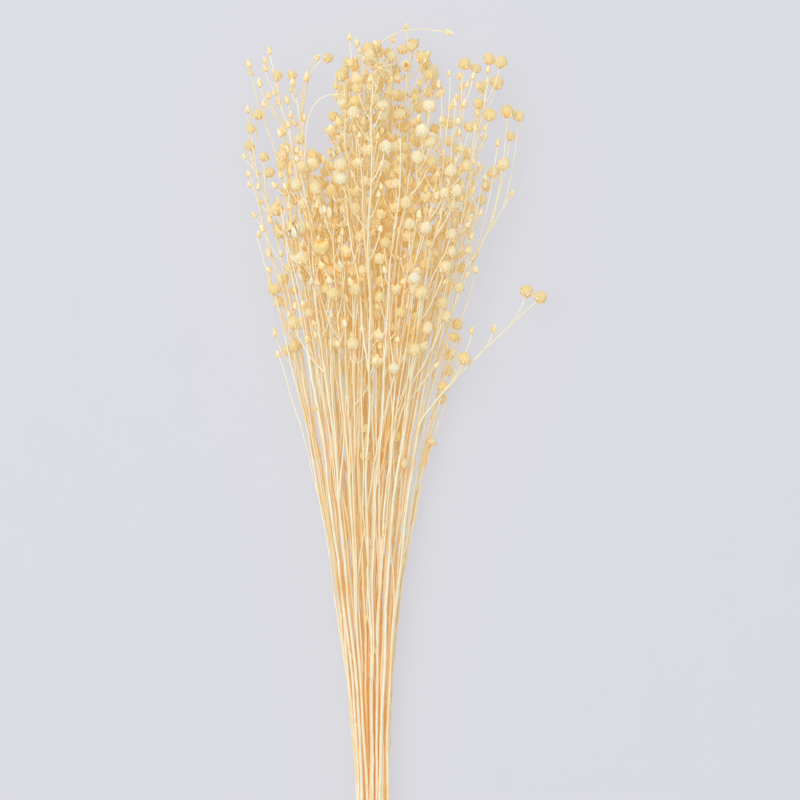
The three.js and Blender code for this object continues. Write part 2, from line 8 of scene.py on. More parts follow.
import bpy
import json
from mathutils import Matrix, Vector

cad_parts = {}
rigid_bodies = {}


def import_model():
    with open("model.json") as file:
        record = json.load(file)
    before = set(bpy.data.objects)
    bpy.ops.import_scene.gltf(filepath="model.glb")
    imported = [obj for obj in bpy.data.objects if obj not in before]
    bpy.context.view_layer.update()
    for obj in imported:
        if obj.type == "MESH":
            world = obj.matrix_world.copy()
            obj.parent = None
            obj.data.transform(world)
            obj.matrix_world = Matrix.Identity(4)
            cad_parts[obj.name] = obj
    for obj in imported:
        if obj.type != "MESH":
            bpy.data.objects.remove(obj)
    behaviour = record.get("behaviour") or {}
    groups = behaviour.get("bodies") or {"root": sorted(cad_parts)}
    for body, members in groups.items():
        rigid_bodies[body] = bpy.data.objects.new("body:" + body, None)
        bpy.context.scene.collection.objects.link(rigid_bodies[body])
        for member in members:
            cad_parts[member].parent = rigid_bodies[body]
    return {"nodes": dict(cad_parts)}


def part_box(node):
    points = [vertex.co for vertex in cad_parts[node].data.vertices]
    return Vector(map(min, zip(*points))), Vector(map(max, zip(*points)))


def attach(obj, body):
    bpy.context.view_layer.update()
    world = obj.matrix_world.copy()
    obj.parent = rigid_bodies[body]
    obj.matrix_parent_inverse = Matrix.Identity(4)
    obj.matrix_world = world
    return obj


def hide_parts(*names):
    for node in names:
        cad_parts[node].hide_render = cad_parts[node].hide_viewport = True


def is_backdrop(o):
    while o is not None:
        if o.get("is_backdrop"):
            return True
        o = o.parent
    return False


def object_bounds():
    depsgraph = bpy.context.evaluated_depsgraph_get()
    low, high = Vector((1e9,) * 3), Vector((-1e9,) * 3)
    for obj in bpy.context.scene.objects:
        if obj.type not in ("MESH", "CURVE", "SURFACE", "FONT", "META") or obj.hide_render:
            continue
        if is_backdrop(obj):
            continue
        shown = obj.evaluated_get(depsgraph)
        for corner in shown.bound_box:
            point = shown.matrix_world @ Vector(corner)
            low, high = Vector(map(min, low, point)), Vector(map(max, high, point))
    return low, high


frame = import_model()
CAD_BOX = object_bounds()
print("solids:", len(frame["nodes"]), "box:", [tuple(round(x, 4) for x in corner) for corner in CAD_BOX])

# %% [markdown]
# ## Sizes
# The growing rule below is in millimetres, with the band at the origin, the table at z = 0 and the tips
# along +Y, as a grower would measure the bunch on a bench. One function turns such a point into metres in
# the part's own frame.

# %% From bench millimetres to the part's frame
import bmesh
import json
import math
from types import SimpleNamespace

import bpy
import numpy as np

MM = 0.001
band_low, band_high = (np.array(corner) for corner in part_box("elastic_band"))
BENCH = (band_low + band_high) / 2 * (1, 1, 0)


def in_frame(points):
    """Bench millimetres as metres in the part's frame."""
    return np.asarray(points, float) * MM + BENCH


print("the band's middle is at", BENCH.round(4))

# %% [markdown]
# ## Camera
# The bunch lies down, so the photograph's level view becomes a view from straight above, with the cut ends
# towards the bottom of the picture and below its edge. A long lens far away keeps the stems as parallel as
# they look in the photograph. The lens follows from the width that the picture takes in.

# %% Camera above the head of the bunch
PIXEL_MM = 0.6  # size of a photograph's pixel at the bunch, from bolls 8 mm across
PICTURE_WIDTH = 800 * PIXEL_MM * MM
PICTURE_MIDDLE = in_frame((16.2, 285, 45))
CAMERA_RISE = 1.8
SENSOR_MM = 36


def shown(name, data):
    """A new object in the scene."""
    made = bpy.data.objects.new(name, data)
    bpy.context.scene.collection.objects.link(made)
    return made


camera = shown("camera", bpy.data.cameras.new("camera"))
camera.data.sensor_width = SENSOR_MM
camera.data.lens = SENSOR_MM * CAMERA_RISE / PICTURE_WIDTH
camera.location = PICTURE_MIDDLE + (0, 0, CAMERA_RISE)
bpy.context.scene.camera = camera
print("lens:", round(camera.data.lens), "mm")

# %% [markdown]
# ## How the bunch grew
# The solids came from a small growing rule with seeded draws. Repeating the rule gives every stalk's exact
# route, so the fine pieces below follow the solids without any fitting. A point read back from a mesh would
# be rougher, because the solids have straight pieces. First come the draws, which are the same on every
# computer.

# %% Seeded draws
def random_stream(seed):
    """Numbers from 0 to 1, the same on every computer."""
    bits = 0xFFFFFFFF
    state = seed
    while True:
        state = (state + 0x6D2B79F5) & bits
        mixed = ((state ^ (state >> 15)) * (state | 1)) & bits
        mixed = (mixed + ((mixed ^ (mixed >> 7)) * (mixed | 61))) & bits ^ mixed
        yield (mixed ^ (mixed >> 14)) / 4294967296


def lerp(low, high, share):
    return (1 - share) * low + share * high


def between(low, high):
    return lerp(low, high, next(draws))


def unit(vector):
    return vector * (1 / math.sqrt(vector @ vector))


SEED = 204
draws = random_stream(SEED)

# %% [markdown]
# The stems lie packed like a honeycomb in the band and open out like a funnel, wider sideways than up,
# because the bunch lies down. A stem's slot in the band is also its place across the funnel.

# %% Honeycomb in the band
STEM_COUNT = 50
STEM_PITCH = 2.6
STEM_R_THIN = 0.9
STEM_R_THICK = 1.15
SEAT_GAP = 0.3
BAND_SIDES = 16
TURN_THICKNESS = 1.6
COMB_X = -0.011  # the honeycomb's middle is a hair off a cell's, so that no two cells are equally near
COMB_Z = -0.007


def packed_slots(count):
    """The cells of a honeycomb nearest its middle, as shares of the bundle's radius."""
    reach = range(-math.ceil(math.sqrt(count)), math.ceil(math.sqrt(count)) + 1)
    row_height = math.sqrt(0.75)
    cells = [((i + row / 2) * STEM_PITCH, row * row_height * STEM_PITCH) for row in reach for i in reach]
    cells.sort(key=lambda cell: math.hypot(cell[0] - COMB_X, cell[1] - COMB_Z))
    radius = max(math.hypot(*cell) for cell in cells[:count])
    return radius, [(x / radius, z / radius) for x, z in cells[:count]]


BUNDLE_R, slots = packed_slots(STEM_COUNT)
BAND_INNER_R = (BUNDLE_R + STEM_R_THICK + SEAT_GAP) / math.cos(math.pi / BAND_SIDES)
BAND_AXIS_Z = (BAND_INNER_R + TURN_THICKNESS) * math.cos(math.pi / BAND_SIDES)
print("bundle radius:", round(BUNDLE_R, 2), "mm, axis", round(BAND_AXIS_Z, 2), "mm above the table")

# %% Funnel
TAIL = 85
TAIL_UNEVEN = 16
TAIL_SPREAD = 0.22
HEAD_Y = 453
HEAD_HALF_WIDTH = 76
HEAD_HALF_DEPTH = 38
FLARE_X = 1.95
FLARE_Z = 1.4
HEAD_LEAN = 7
WAIST_LEAN = 3
LIFT_AT_HEAD = 2


def head_share(y):
    return max(y, 0) / HEAD_Y


def half_size(y, at_head, flare):
    """Half the bunch's width or depth at a distance y from the band."""
    tail = 1 + TAIL_SPREAD * (max(-y, 0) / TAIL)
    return lerp(BUNDLE_R, at_head, head_share(y) ** flare) * tail


def half_width(y):
    return half_size(y, HEAD_HALF_WIDTH, FLARE_X)


def half_depth(y):
    return half_size(y, HEAD_HALF_DEPTH, FLARE_Z)


def mid_x(y):
    return HEAD_LEAN * head_share(y) ** 2 - WAIST_LEAN * math.sin(math.pi * head_share(y)) ** 2


def mid_z(y):
    return BAND_AXIS_Z + half_depth(y) - BUNDLE_R + LIFT_AT_HEAD * head_share(y)


def in_funnel(slot, y):
    return np.array([mid_x(y) + slot[0] * half_width(y), y, mid_z(y) + slot[1] * half_depth(y)])


# %% [markdown]
# A stem keeps its place in the funnel and bends more and more towards its own tip. Its line is a formula of
# the height, so it can be drawn with long straight pieces, as in the solids, or with short ones for a
# smooth stalk.

# %% One stem's line
TIP_R = 0.45
TAPER = 0.9
TAPER_LATE = 1.6
SWAY = 1.6
BEND_POWER = 2.2
LEAVE_POWER = 1.25
STEM_STEP = 45
STEP_CROWDING = 0.8


def stem_point(stem, y):
    share = max(y, 0) / stem.top
    power = LEAVE_POWER if stem.leave else BEND_POWER
    bend = (max(y - stem.leave, 0) / (stem.top - stem.leave)) ** power
    sway = SWAY * share * math.sin(math.pi * (2 * share + stem.phase))
    x, _, z = in_funnel(stem.slot, y)
    return np.array([x + stem.bend_x * bend + sway * (1 - share), y, z + stem.bend_z * bend])


def stem_radius(stem, y):
    return lerp(stem.radius, TIP_R, TAPER * (max(y, 0) / stem.top) ** TAPER_LATE)


def steps(low, high):
    """Heights from one to another, closer together near the second."""
    count = max(3, math.floor((high - low) / STEM_STEP + 0.5))
    return [lerp(low, high, ((i + 1) / count) ** STEP_CROWDING) for i in range(count)]


def boll_at(centre, direction, radius):
    return SimpleNamespace(centre=centre, direction=unit(direction), radius=radius)


def make_stem(slot, tip, leave=0):
    """A stem through its slot in the band and up to a tip, with a boll on it."""
    x, y, z, tip_r = tip
    fx, _, fz = in_funnel(slot, y)
    stem = SimpleNamespace(slot=slot, top=y, leave=leave, bend_x=x - fx, bend_z=z - fz, branches=[])
    stem.phase = between(0, 2)
    stem.radius = between(STEM_R_THIN, STEM_R_THICK)
    stem.cut = -TAIL + between(0, TAIL_UNEVEN)
    heights = [stem.cut, 0, *steps(0, leave or y), *(steps(leave, y) if leave else [])]
    stem.line = [stem_point(stem, height) for height in heights]
    stem.radii = [stem_radius(stem, height) for height in heights]
    stem.boll = boll_at(stem.line[-1], stem.line[-1] - stem.line[-2], tip_r)
    return stem


def on_stem(stem, y):
    """The point at height y on a stem's chain of straight pieces."""
    i = max(1, next(k for k, point in enumerate(stem.line) if point[1] >= y))
    low, high = stem.line[i - 1], stem.line[i]
    return low + (high - low) * ((y - low[1]) / (high[1] - low[1]))


# %% [markdown]
# ## Room for each piece
# No stem, branch or boll grows through another, and only thin side stalks press against each other.
# Everything placed so far is kept as straight rods with a radius, a boll being a rod of no length, and a new
# piece is tried in other places until it is clear of them all. Python loops would be slow here, so one rod
# is measured against all the others at once with numpy.

# %% Distances between rods
CLEAR = 0.3
TRIES = 160
ROUNDING = 1e-6
nowhere = np.empty((0, 3))
rods = SimpleNamespace(start=nowhere, end=nowhere, radius=np.empty(0), stem=np.empty(0, int))


def add_rods(stem, line, radii, boll):
    ends = list(zip(line[:-1], line[1:])) + [(boll.centre, boll.centre)]
    thick = [max(pair) for pair in zip(radii[:-1], radii[1:])] + [boll.radius]
    rods.start = np.vstack([rods.start, [start for start, _ in ends]])
    rods.end = np.vstack([rods.end, [end for _, end in ends]])
    rods.radius = np.append(rods.radius, thick)
    rods.stem = np.append(rods.stem, [id(stem)] * len(ends))


def distances(start, end, starts, ends):
    """Shortest distances from one straight rod's middle to those of many."""
    u = end - start
    v = ends - starts
    w = start - starts
    uu = u @ u
    vv = (v * v).sum(1)
    uv = v @ u
    uw = w @ u
    vw = (v * w).sum(1)
    spread = uu * vv - uv * uv
    s = np.where(spread > ROUNDING, np.clip((uv * vw - vv * uw) / np.maximum(spread, ROUNDING), 0, 1), 0)
    t = np.where(vv > ROUNDING, np.clip((uv * s + vw) / np.maximum(vv, ROUNDING), 0, 1), 0)
    s = np.clip((uv * t - uw) / uu, 0, 1) if uu > ROUNDING else 0 * t
    gap = w + s[:, None] * u - t[:, None] * v
    return np.sqrt((gap * gap).sum(1))


def is_clear(stem, line, radii, boll, root_pieces, gap=CLEAR):
    """Whether a line and its boll are clear of all rods and the table. By the root it may touch its stem."""
    if boll.centre[2] < boll.radius - ROUNDING:
        return False
    parts = [(boll.centre, boll.centre, boll.radius, False)]
    for i in range(len(line) - 1, 0, -1):
        parts.append((line[i - 1], line[i], max(radii[i - 1], radii[i]), i <= root_pieces))
    lows = np.minimum(rods.start[:, 1], rods.end[:, 1]) - rods.radius
    highs = np.maximum(rods.start[:, 1], rods.end[:, 1]) + rods.radius
    for start, end, radius, is_root in parts:
        near = highs >= min(start[1], end[1]) - radius - gap
        near &= lows <= max(start[1], end[1]) + radius + gap
        if is_root:
            near &= rods.stem != id(stem)
        if (distances(start, end, rods.start[near], rods.end[near]) < radius + rods.radius[near] + gap).any():
            return False
    return True


def first_clear(propose, test, tries=TRIES):
    """The first of a rule's tries that is clear, or None."""
    return next((made for made in map(propose, range(tries)) if test(made)), None)


# %% [markdown]
# ## Branches
# A flax branch leaves its stem sideways and then turns up, which is a quadratic curve with one control
# point. It ends inside its boll. The table lifts a boll that would hang below it. Branches go round the
# stem by the golden angle, as leaves do, and about a third of them fork off the branch before.

# %% A branch and where it starts
PEDICEL_R = 0.42
PEDICEL_STEP = 17
SUNK = 0.62
CONTROL_UP = 0.35
CONTROL_OUT = 0.68
GOLDEN_TURN = 2.399963
BRANCH_ZONE = 112
REACH_SHORT = 20
REACH_LONG = 44
FORK_SHARE = 0.35
FORK_SHORT = 13
FORK_LONG = 24
FORK_AT = 0.55
SPREAD_NARROW = 0.3
SPREAD_WIDE = 0.66
TURN_STRAY = 0.9
REACH_LEAST = 0.75
REACH_MOST = 1.15
GROWTH_STEP = 4
PLACE_LOW = 0.35
OFF_TABLE = 0.01


def bezier(root, control, end, share):
    return (1 - share) ** 2 * root + 2 * (1 - share) * share * control + share**2 * end


def make_branch(root, control, end, boll_r, host=None):
    """A stalk from a stem to a boll. host is the branch that it forks off, if any."""
    bends = math.dist(root, control) + math.dist(control, end)
    count = max(1, math.floor(bends / PEDICEL_STEP + 0.5))
    direction = unit(end - control)
    centre = end + direction * boll_r * SUNK
    lift = np.array([0, 0, boll_r + OFF_TABLE - centre[2] if centre[2] < boll_r else 0])
    line = [bezier(root, control, end, i / count) + lift * i / count for i in range(count + 1)]
    boll = boll_at(centre + lift, direction, boll_r)
    curve = SimpleNamespace(root=root, control=control, end=end, lift=lift)
    return SimpleNamespace(line=line, radii=[PEDICEL_R] * len(line), boll=boll, curve=curve, host=host)


def root_on_stem(stem, down):
    root = on_stem(stem, stem.top - down)
    along = unit(on_stem(stem, stem.top - down + GROWTH_STEP) - root)
    reach = lerp(REACH_SHORT, REACH_LONG, down / BRANCH_ZONE) * between(REACH_LEAST, REACH_MOST)
    return root, along, reach, None


def root_on_branch(host):
    at = FORK_AT * (len(host.line) - 1)
    low, high = host.line[math.floor(at)], host.line[math.floor(at) + 1]
    return low + (high - low) * (at % 1), unit(high - low), between(FORK_SHORT, FORK_LONG), host


# %% Branches by the rule
BUD_SHARE = 0.2
BUD_R = 2.6
BOLL_R_SMALL = 3.5
BOLL_R_LARGE = 4.6


def tip_radius():
    return BUD_R if next(draws) < BUD_SHARE else between(BOLL_R_SMALL, BOLL_R_LARGE)


def leaning_branch(stem, place, start, radius_rule):
    """A branch that leans away from what it grows on, one turn further round the stem."""
    root, along, reach, host = start
    spread = between(SPREAD_NARROW, SPREAD_WIDE)
    turn = stem.phase * math.pi + GOLDEN_TURN * place + between(-TURN_STRAY, TURN_STRAY)
    aside = np.array([math.cos(turn), 0, math.sin(turn)])
    aside = unit(aside - (aside @ along) * along)
    up = reach * math.cos(spread)
    out = reach * math.sin(spread)
    control = root + along * up * CONTROL_UP + aside * out * CONTROL_OUT
    return make_branch(root, control, root + along * up + aside * out, radius_rule(), host)


def grow_by_rule(stem, place, count):
    """A branch at one of a number of places in the zone below the tip."""
    down = BRANCH_ZONE * ((place + between(PLACE_LOW, 1)) / count)
    is_fork = next(draws) < FORK_SHARE and len(stem.branches) > 0
    start = root_on_branch(stem.branches[-1]) if is_fork else root_on_stem(stem, down)
    return leaning_branch(stem, place, start, tip_radius)


def branch_is_clear(stem, branch):
    return is_clear(stem, branch.line, branch.radii, branch.boll, 1)


def keep_branch(stem, branch):
    if branch:
        stem.branches.append(branch)
        add_rods(stem, branch.line, branch.radii, branch.boll)


# %% [markdown]
# ## The stems of the outline
# The sprays, arches and sprigs that stand out of the head have the places that the photograph shows. Each
# row gives a tip and its other bolls as x, y, z and radius in bench millimetres. A boll may name the point
# that pulls its stalk into an arch, and the height where that stalk starts. A stem may name a lower point
# that it passes near, and the height at which it leaves the funnel. A stem of the crown belongs to the
# head's body, and a bare one gets no young bolls further on.

# %% Outline stems
OUTLINE_STEMS = [
    # tall narrow spray on the left
    {
        "tip": (-62, 494, 46, 2.6),
        "bolls": [(-65, 484, 43, 2.6), (-57, 479, 48, 3.3), (-68, 475, 49, 2.7), (-63, 468, 41, 2.6)],
    },
    # the spray beside it, which leans to the right
    {
        "tip": (-49, 481, 37, 3.3),
        "lower": (-51, 429, 40),
        "leave": 400,
        "bolls": [
            {"tip": (-27, 491, 38, 3.3), "via": (-44, 485, 40), "root": 440},
            {"tip": (-34, 492, 33, 2.7), "via": (-47, 484, 34), "root": 430},
            (-40, 479, 43, 2.9),
            (-52, 466, 33, 2.8),
            (-54, 448, 42, 2.9),
        ],
    },
    # the outer left edge
    {
        "tip": (-75, 439, 25, 3.3),
        "bolls": [
            {"tip": (-70, 458, 27, 3.8), "root": 430},
            {"tip": (-77, 463, 24, 2.5), "root": 420},
            {"tip": (-74, 449, 33, 3.3), "root": 410},
            (-66, 432, 34, 3.5),
            (-63, 423, 24, 3.4),
        ],
    },
    # arch on the left, over the gap
    {
        "tip": (-44, 441, 52, 3.6),
        "bolls": [
            {"tip": (-18, 467, 56, 3.3), "via": (-45, 472, 60), "root": 415},
            (-36, 432, 47, 3.6),
            (-55, 426, 47, 3.6),
        ],
    },
    # arch over the crown, which ends out on the right
    {
        "tip": (-11, 484, 58, 3.5),
        "is_crown": True,
        "bolls": [
            {"tip": (45, 503, 66, 2.6), "via": (-8, 514, 70), "root": 458},
            (-14, 502, 50, 2.6),
            (2, 478, 54, 3.9),
            (4, 494, 50, 3.5),
        ],
    },
    # top of the crown
    {
        "tip": (23, 497, 50, 3.7),
        "is_crown": True,
        "bolls": [
            (20, 509, 44, 2.5), (30, 490, 57, 4.6), (34, 480, 49, 4.2), (20, 484, 60, 4.0),
            (33, 470, 40, 3.6),
        ],
    },
    # the crown's left half
    {
        "tip": (9, 494, 40, 3.3),
        "is_crown": True,
        "bolls": [(12, 503, 34, 2.6), (1, 487, 36, 3.7), (13, 483, 38, 4.1), (-4, 478, 42, 4.0)],
    },
    # the crown's left edge
    {
        "tip": (-17, 483, 44, 3.3),
        "is_crown": True,
        "bolls": [(-13, 474, 38, 3.5), (-22, 473, 49, 2.7), (-16, 459, 44, 3.7), (-24, 456, 38, 3.4)],
    },
    # right spray, inner
    {
        "tip": (55, 487, 44, 4.3),
        "lower": (53, 405, 44),
        "leave": 380,
        "bolls": [
            (62, 485, 37, 3.4), (60, 479, 49, 2.7), (53, 474, 37, 2.6), (55, 463, 47, 2.6),
            (58, 449, 43, 3.9),
        ],
    },
    # right spray, outer
    {
        "tip": (70, 491, 34, 4.3),
        "lower": (60, 390, 34),
        "leave": 385,
        "bolls": [
            (77, 488, 41, 4.2), (75, 477, 31, 4.2), (64, 464, 36, 3.6), (70, 456, 45, 4.5),
            (52, 446, 31, 2.7),
        ],
    },
    # the outer right edge, a short stem with long thin stalks
    {
        "tip": (84, 410, 26, 2.5),
        "lower": (58, 345, 34),
        "leave": 290,
        "is_bare": True,
        "bolls": [
            {"tip": (88, 457, 30, 4.0), "root": 402},
            {"tip": (81, 459, 38, 4.5), "root": 390},
            {"tip": (83, 445, 23, 3.4), "root": 378},
            {"tip": (79, 428, 34, 4.2), "root": 366},
            {"tip": (76, 441, 27, 2.6), "root": 354},
        ],
    },
    # the lone sprig that leaves the bunch on the right
    {
        "tip": (101, 347, 34, 4.4),
        "leave": 268,
        "is_bare": True,
        "bolls": [(93, 351, 27, 4.4), (73, 328, 36, 2.6), (55, 310, 39, 4.0), (60, 327, 28, 2.6)],
    },
    # right side, below the head
    {
        "tip": (51, 331, 24, 3.6),
        "bolls": [(49, 323, 33, 3.4), (46, 314, 24, 3.6), (62, 364, 27, 2.6), (42, 293, 29, 3.5)],
    },
    {"tip": (41, 287, 21, 3.5), "bolls": [(34, 259, 20, 3.4), (46, 303, 17, 3.4)]},
    # left side, below the head
    {"tip": (-55, 360, 24, 4.0), "bolls": [(-60, 352, 30, 4.0), (-58, 345, 20, 3.6), (-48, 352, 18, 3.4)]},
    {"tip": (-53, 316, 20, 3.4), "bolls": [(-60, 326, 17, 2.6), (-48, 318, 28, 3.4)]},
    # short stems that show low in the middle
    {"tip": (13, 263, 33, 4.5), "bolls": [(19, 266, 26, 3.5), (18, 247, 37, 3.6)]},
    {"tip": (-4, 268, 36, 3.3), "bolls": [(-5, 260, 31, 3.4), (-5, 252, 39, 3.4)]},
]

# %% Plant the outline
ROOT_SLOPE = 0.53
ROOT_BELOW = 6
TIP_FREE = 5
STEP_ASIDE = 0.55
STEP_FLAT = 0.5
STEP_DEEP = 2


def step_aside(attempt):
    """Small steps aside for a piece that has a given place, growing with each try."""
    far = STEP_ASIDE * math.sqrt(attempt)
    turn = GOLDEN_TURN * attempt
    flat = STEP_FLAT * far
    return flat * math.cos(turn), flat * math.cos(2 * turn), STEP_DEEP * far * math.sin(turn)


def moved(place, step):
    x, y, z, radius = place
    return x + step[0], y + step[1], max(z + step[2], radius + OFF_TABLE), radius


def take_slot_under(point, free):
    """Of the free slots, the one whose line through the funnel passes nearest to a point."""
    x, y, z = point[:3]

    def off(slot):
        fx, _, fz = in_funnel(slot, y)
        return math.hypot((fx - x) / half_width(y), (fz - z) / half_depth(y))

    best = min(free, key=off)
    free.remove(best)
    return best


def grow_to(stem, given, attempt):
    """A branch led to a boll of given place."""
    given = given if isinstance(given, dict) else {"tip": given}
    x, y, z, radius = moved(given["tip"], step_aside(attempt))
    centre = np.array([x, y, z])
    beside = on_stem(stem, min(y, stem.top))
    sideways = math.hypot(x - beside[0], z - beside[2])
    by_slope = min(y - sideways / ROOT_SLOPE - ROOT_BELOW, stem.top - TIP_FREE)
    root = on_stem(stem, given.get("root") or by_slope)
    turn_up = [lerp(a, b, share) for a, b, share in zip(root, centre, (CONTROL_OUT, CONTROL_UP, CONTROL_OUT))]
    control = np.array(given.get("via", turn_up), float)
    return make_branch(root, control, centre - unit(centre - control) * radius * SUNK, radius)


def keep_stem(stem):
    add_rods(stem, stem.line, stem.radii, stem.boll)
    stems.append(stem)


def stem_is_clear(stem):
    return is_clear(stem, stem.line, stem.radii, stem.boll, 0)


stems = []
free = list(slots)
for outline in OUTLINE_STEMS:
    slot = take_slot_under(outline.get("lower", outline["tip"]), free)
    leave = outline.get("leave", 0)
    grow = lambda attempt: make_stem(slot, moved(outline["tip"], step_aside(attempt)), leave)
    keep_stem(first_clear(grow, stem_is_clear))
for stem, outline in zip(stems, OUTLINE_STEMS):
    for given in outline["bolls"]:
        grow = lambda attempt: grow_to(stem, given, attempt)
        keep_branch(stem, first_clear(grow, lambda branch: branch_is_clear(stem, branch)))
print(len(stems), "outline stems with", sum(len(stem.branches) for stem in stems), "branches")

# %% [markdown]
# The other stems fill the room inside that outline. The top of the head is a steep crown in the middle with
# lower shoulders, and no boll of theirs stands above it.

# %% Plant the body of the bunch
BOLLS_A_STEM = 6
SHOULDER_Y = 434
CROWN_RISE = 62
CROWN_X = 11
CROWN_HALF_WIDTH = 33
CROWN_STEEPNESS = 8
OVER_OUTLINE = 4
LOWEST_TIP_Y = 300
TIP_CROWDING = 0.38
BODY_TURN = 0.6
BODY_IN = 0.8
BODY_OUT = 1.08
TIP_ASIDE = 5
TIP_LIFT = 4


def crown_top(x):
    """How far the crown reaches at a place across the bunch."""
    off = abs(x - CROWN_X) / CROWN_HALF_WIDTH
    return SHOULDER_Y + CROWN_RISE * math.exp(-(off**CROWN_STEEPNESS))


def body_stem(slot, rank, count):
    """A stem in its slot's place in the funnel, turned and shifted a little, up to the crown's outline."""
    crown_y = crown_top(mid_x(HEAD_Y) + slot[0] * HEAD_HALF_WIDTH)
    top = lerp(LOWEST_TIP_Y, crown_y, ((rank + next(draws)) / count) ** TIP_CROWDING)
    turn = between(-BODY_TURN, BODY_TURN)
    out = between(BODY_IN, BODY_OUT)
    turned_x = out * (slot[0] * math.cos(turn) - slot[1] * math.sin(turn))
    turned_z = out * (slot[0] * math.sin(turn) + slot[1] * math.cos(turn))
    x, _, z = in_funnel((turned_x, turned_z), top)
    tip_r = tip_radius()
    aside = between(-TIP_ASIDE, TIP_ASIDE)
    lift = between(-TIP_LIFT, TIP_LIFT)
    return make_stem(slot, moved((x, top, z, tip_r), (aside, 0, lift)))


def stays_under(branch):
    x, y, _ = branch.boll.centre
    return y < crown_top(x) + OVER_OUTLINE


order = sorted(free, key=lambda slot: next(draws))
for rank, slot in enumerate(order):
    keep_stem(first_clear(lambda attempt: body_stem(slot, rank, len(order)), stem_is_clear))
for stem in stems[len(OUTLINE_STEMS):]:
    for place in range(BOLLS_A_STEM - 1):
        grow = lambda attempt: grow_by_rule(stem, place, BOLLS_A_STEM - 1)
        test = lambda branch: stays_under(branch) and branch_is_clear(stem, branch)
        keep_branch(stem, first_clear(grow, test))
print(len(stems), "stems with", sum(1 + len(stem.branches) for stem in stems), "bolls")

# %% [markdown]
# The routes are only right if they lie in the solids. Each stem's tip boll and its cut end are compared
# with the box of its solid, which tells at once whether a draw went another way.

# %% Compare the routes with the solids
def node_name(i):
    return f"flax_stem_{i + 1:02d}"


worst = 0
for i, stem in enumerate(stems):
    low, high = (np.array(corner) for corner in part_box(node_name(i)))
    lines = in_frame(np.vstack([stem.line, *(branch.line for branch in stem.branches)]))
    outside = np.maximum(low - lines, lines - high).max()
    worst = max(worst, outside, abs(low[1] - lines[:, 1].min()))
print("farthest that a route leaves its solid:", round(worst / MM, 3), "mm")

# %% [markdown]
# ## Stalks and twigs too fine for the solids
# The solids hold the bolls that make the outline. A real stem also divides into side stalks, which run up
# almost along it to places of their own in the head. They make the head and the middle of the bunch as
# dense as they are. The stems of the free sprays keep theirs close, so that the gaps between the sprays
# stay open.

# %% Side stalks
FILL_SEED = 7
SIDE_STALKS = 11
CROWN_SIDE_STALKS = 4  # more on the stems that reach the crown
SPRAY_SIDE_STALKS = 12  # close ones on the stems of the free sprays
CROWN_LOW = 440
SIDE_TRIES = 50
SIDE_ROOT_LOW = 80
SIDE_ROOT_HIGH = 0.72
SIDE_SHORTEST = 60
LOWEST_SIDE_TOP = 300
SIDE_CROWDING = 0.55
SIDE_POWER = 1.2
SIDE_PIECE = 28
SIDE_R = 0.58
SIDE_TIP_R = 0.36
SIDE_REACH = (0.1, 0.7)
SIDE_REACH_CLOSE = (0.03, 0.2)
BODY_SHARE = 1.02
CROWN_SPARE = 6
SIDE_SQUEEZE = -0.3  # side stalks are thin and lie against each other
ROOT_SHARE = 0.55  # of a side stalk's length, which may lie against its stem
YOUNG_BUD_SHARE = 0.16
YOUNG_BUD_R = (2.1, 2.8)
YOUNG_BOLL_R = (3.2, 4.4)


def in_free_spray(i):
    """Whether a stem belongs to a spray that stands free of the head."""
    return i < len(OUTLINE_STEMS) and "is_crown" not in OUTLINE_STEMS[i]


def is_bare(i):
    return i < len(OUTLINE_STEMS) and "is_bare" in OUTLINE_STEMS[i]


def off_middle(point):
    """0 on the bunch's middle line, 1 on the funnel."""
    x, y, z = point
    return math.hypot((x - mid_x(y)) / half_width(y), (z - mid_z(y)) / half_depth(y))


def in_body(point):
    return off_middle(point) < BODY_SHARE and point[1] < crown_top(point[0]) + CROWN_SPARE


def young_bud():
    return between(*YOUNG_BUD_R)


def young_radius():
    return young_bud() if next(draws) < YOUNG_BUD_SHARE else between(*YOUNG_BOLL_R)


def side_point(side, y):
    share = (y - side.root) / (side.top - side.root)
    return stem_point(side.host, y) + side.bend * share**SIDE_POWER


def side_stalk(host, reach, radius_rule):
    """A thin stalk that leaves its stem low down and runs up beside it."""
    root = between(SIDE_ROOT_LOW, SIDE_ROOT_HIGH * host.top)
    top = lerp(max(root + SIDE_SHORTEST, LOWEST_SIDE_TOP), host.top, next(draws) ** SIDE_CROWDING)
    turn = between(0, 2 * math.pi)
    away = between(*reach)
    bend = np.array([half_width(top) * away * math.cos(turn), 0, half_depth(top) * away * math.sin(turn)])
    side = SimpleNamespace(host=host, root=root, top=top, bend=bend, phase=between(0, 2), branches=[])
    heights = np.linspace(root, top, math.ceil((top - root) / SIDE_PIECE) + 1)
    side.line = [side_point(side, y) for y in heights]
    side.radii = list(np.linspace(SIDE_R, SIDE_TIP_R, len(side.line)))
    side.boll = boll_at(side.line[-1], side.line[-1] - side.line[-2], radius_rule())
    return side


def side_is_clear(side, is_free):
    root_pieces = round(ROOT_SHARE * (len(side.line) - 1))
    clear = is_clear(side.host, side.line, side.radii, side.boll, root_pieces, SIDE_SQUEEZE)
    return clear and (is_free or in_body(side.boll.centre))


def add_sides(stem, count, reach, radius_rule, is_free):
    for _ in range(count if stem.top > LOWEST_SIDE_TOP else 0):
        grow = lambda attempt: side_stalk(stem, reach, radius_rule)
        side = first_clear(grow, lambda side: side_is_clear(side, is_free), SIDE_TRIES)
        if side:
            side.is_free = is_free
            stem.sides.append(side)
            add_rods(side, side.line, side.radii, side.boll)


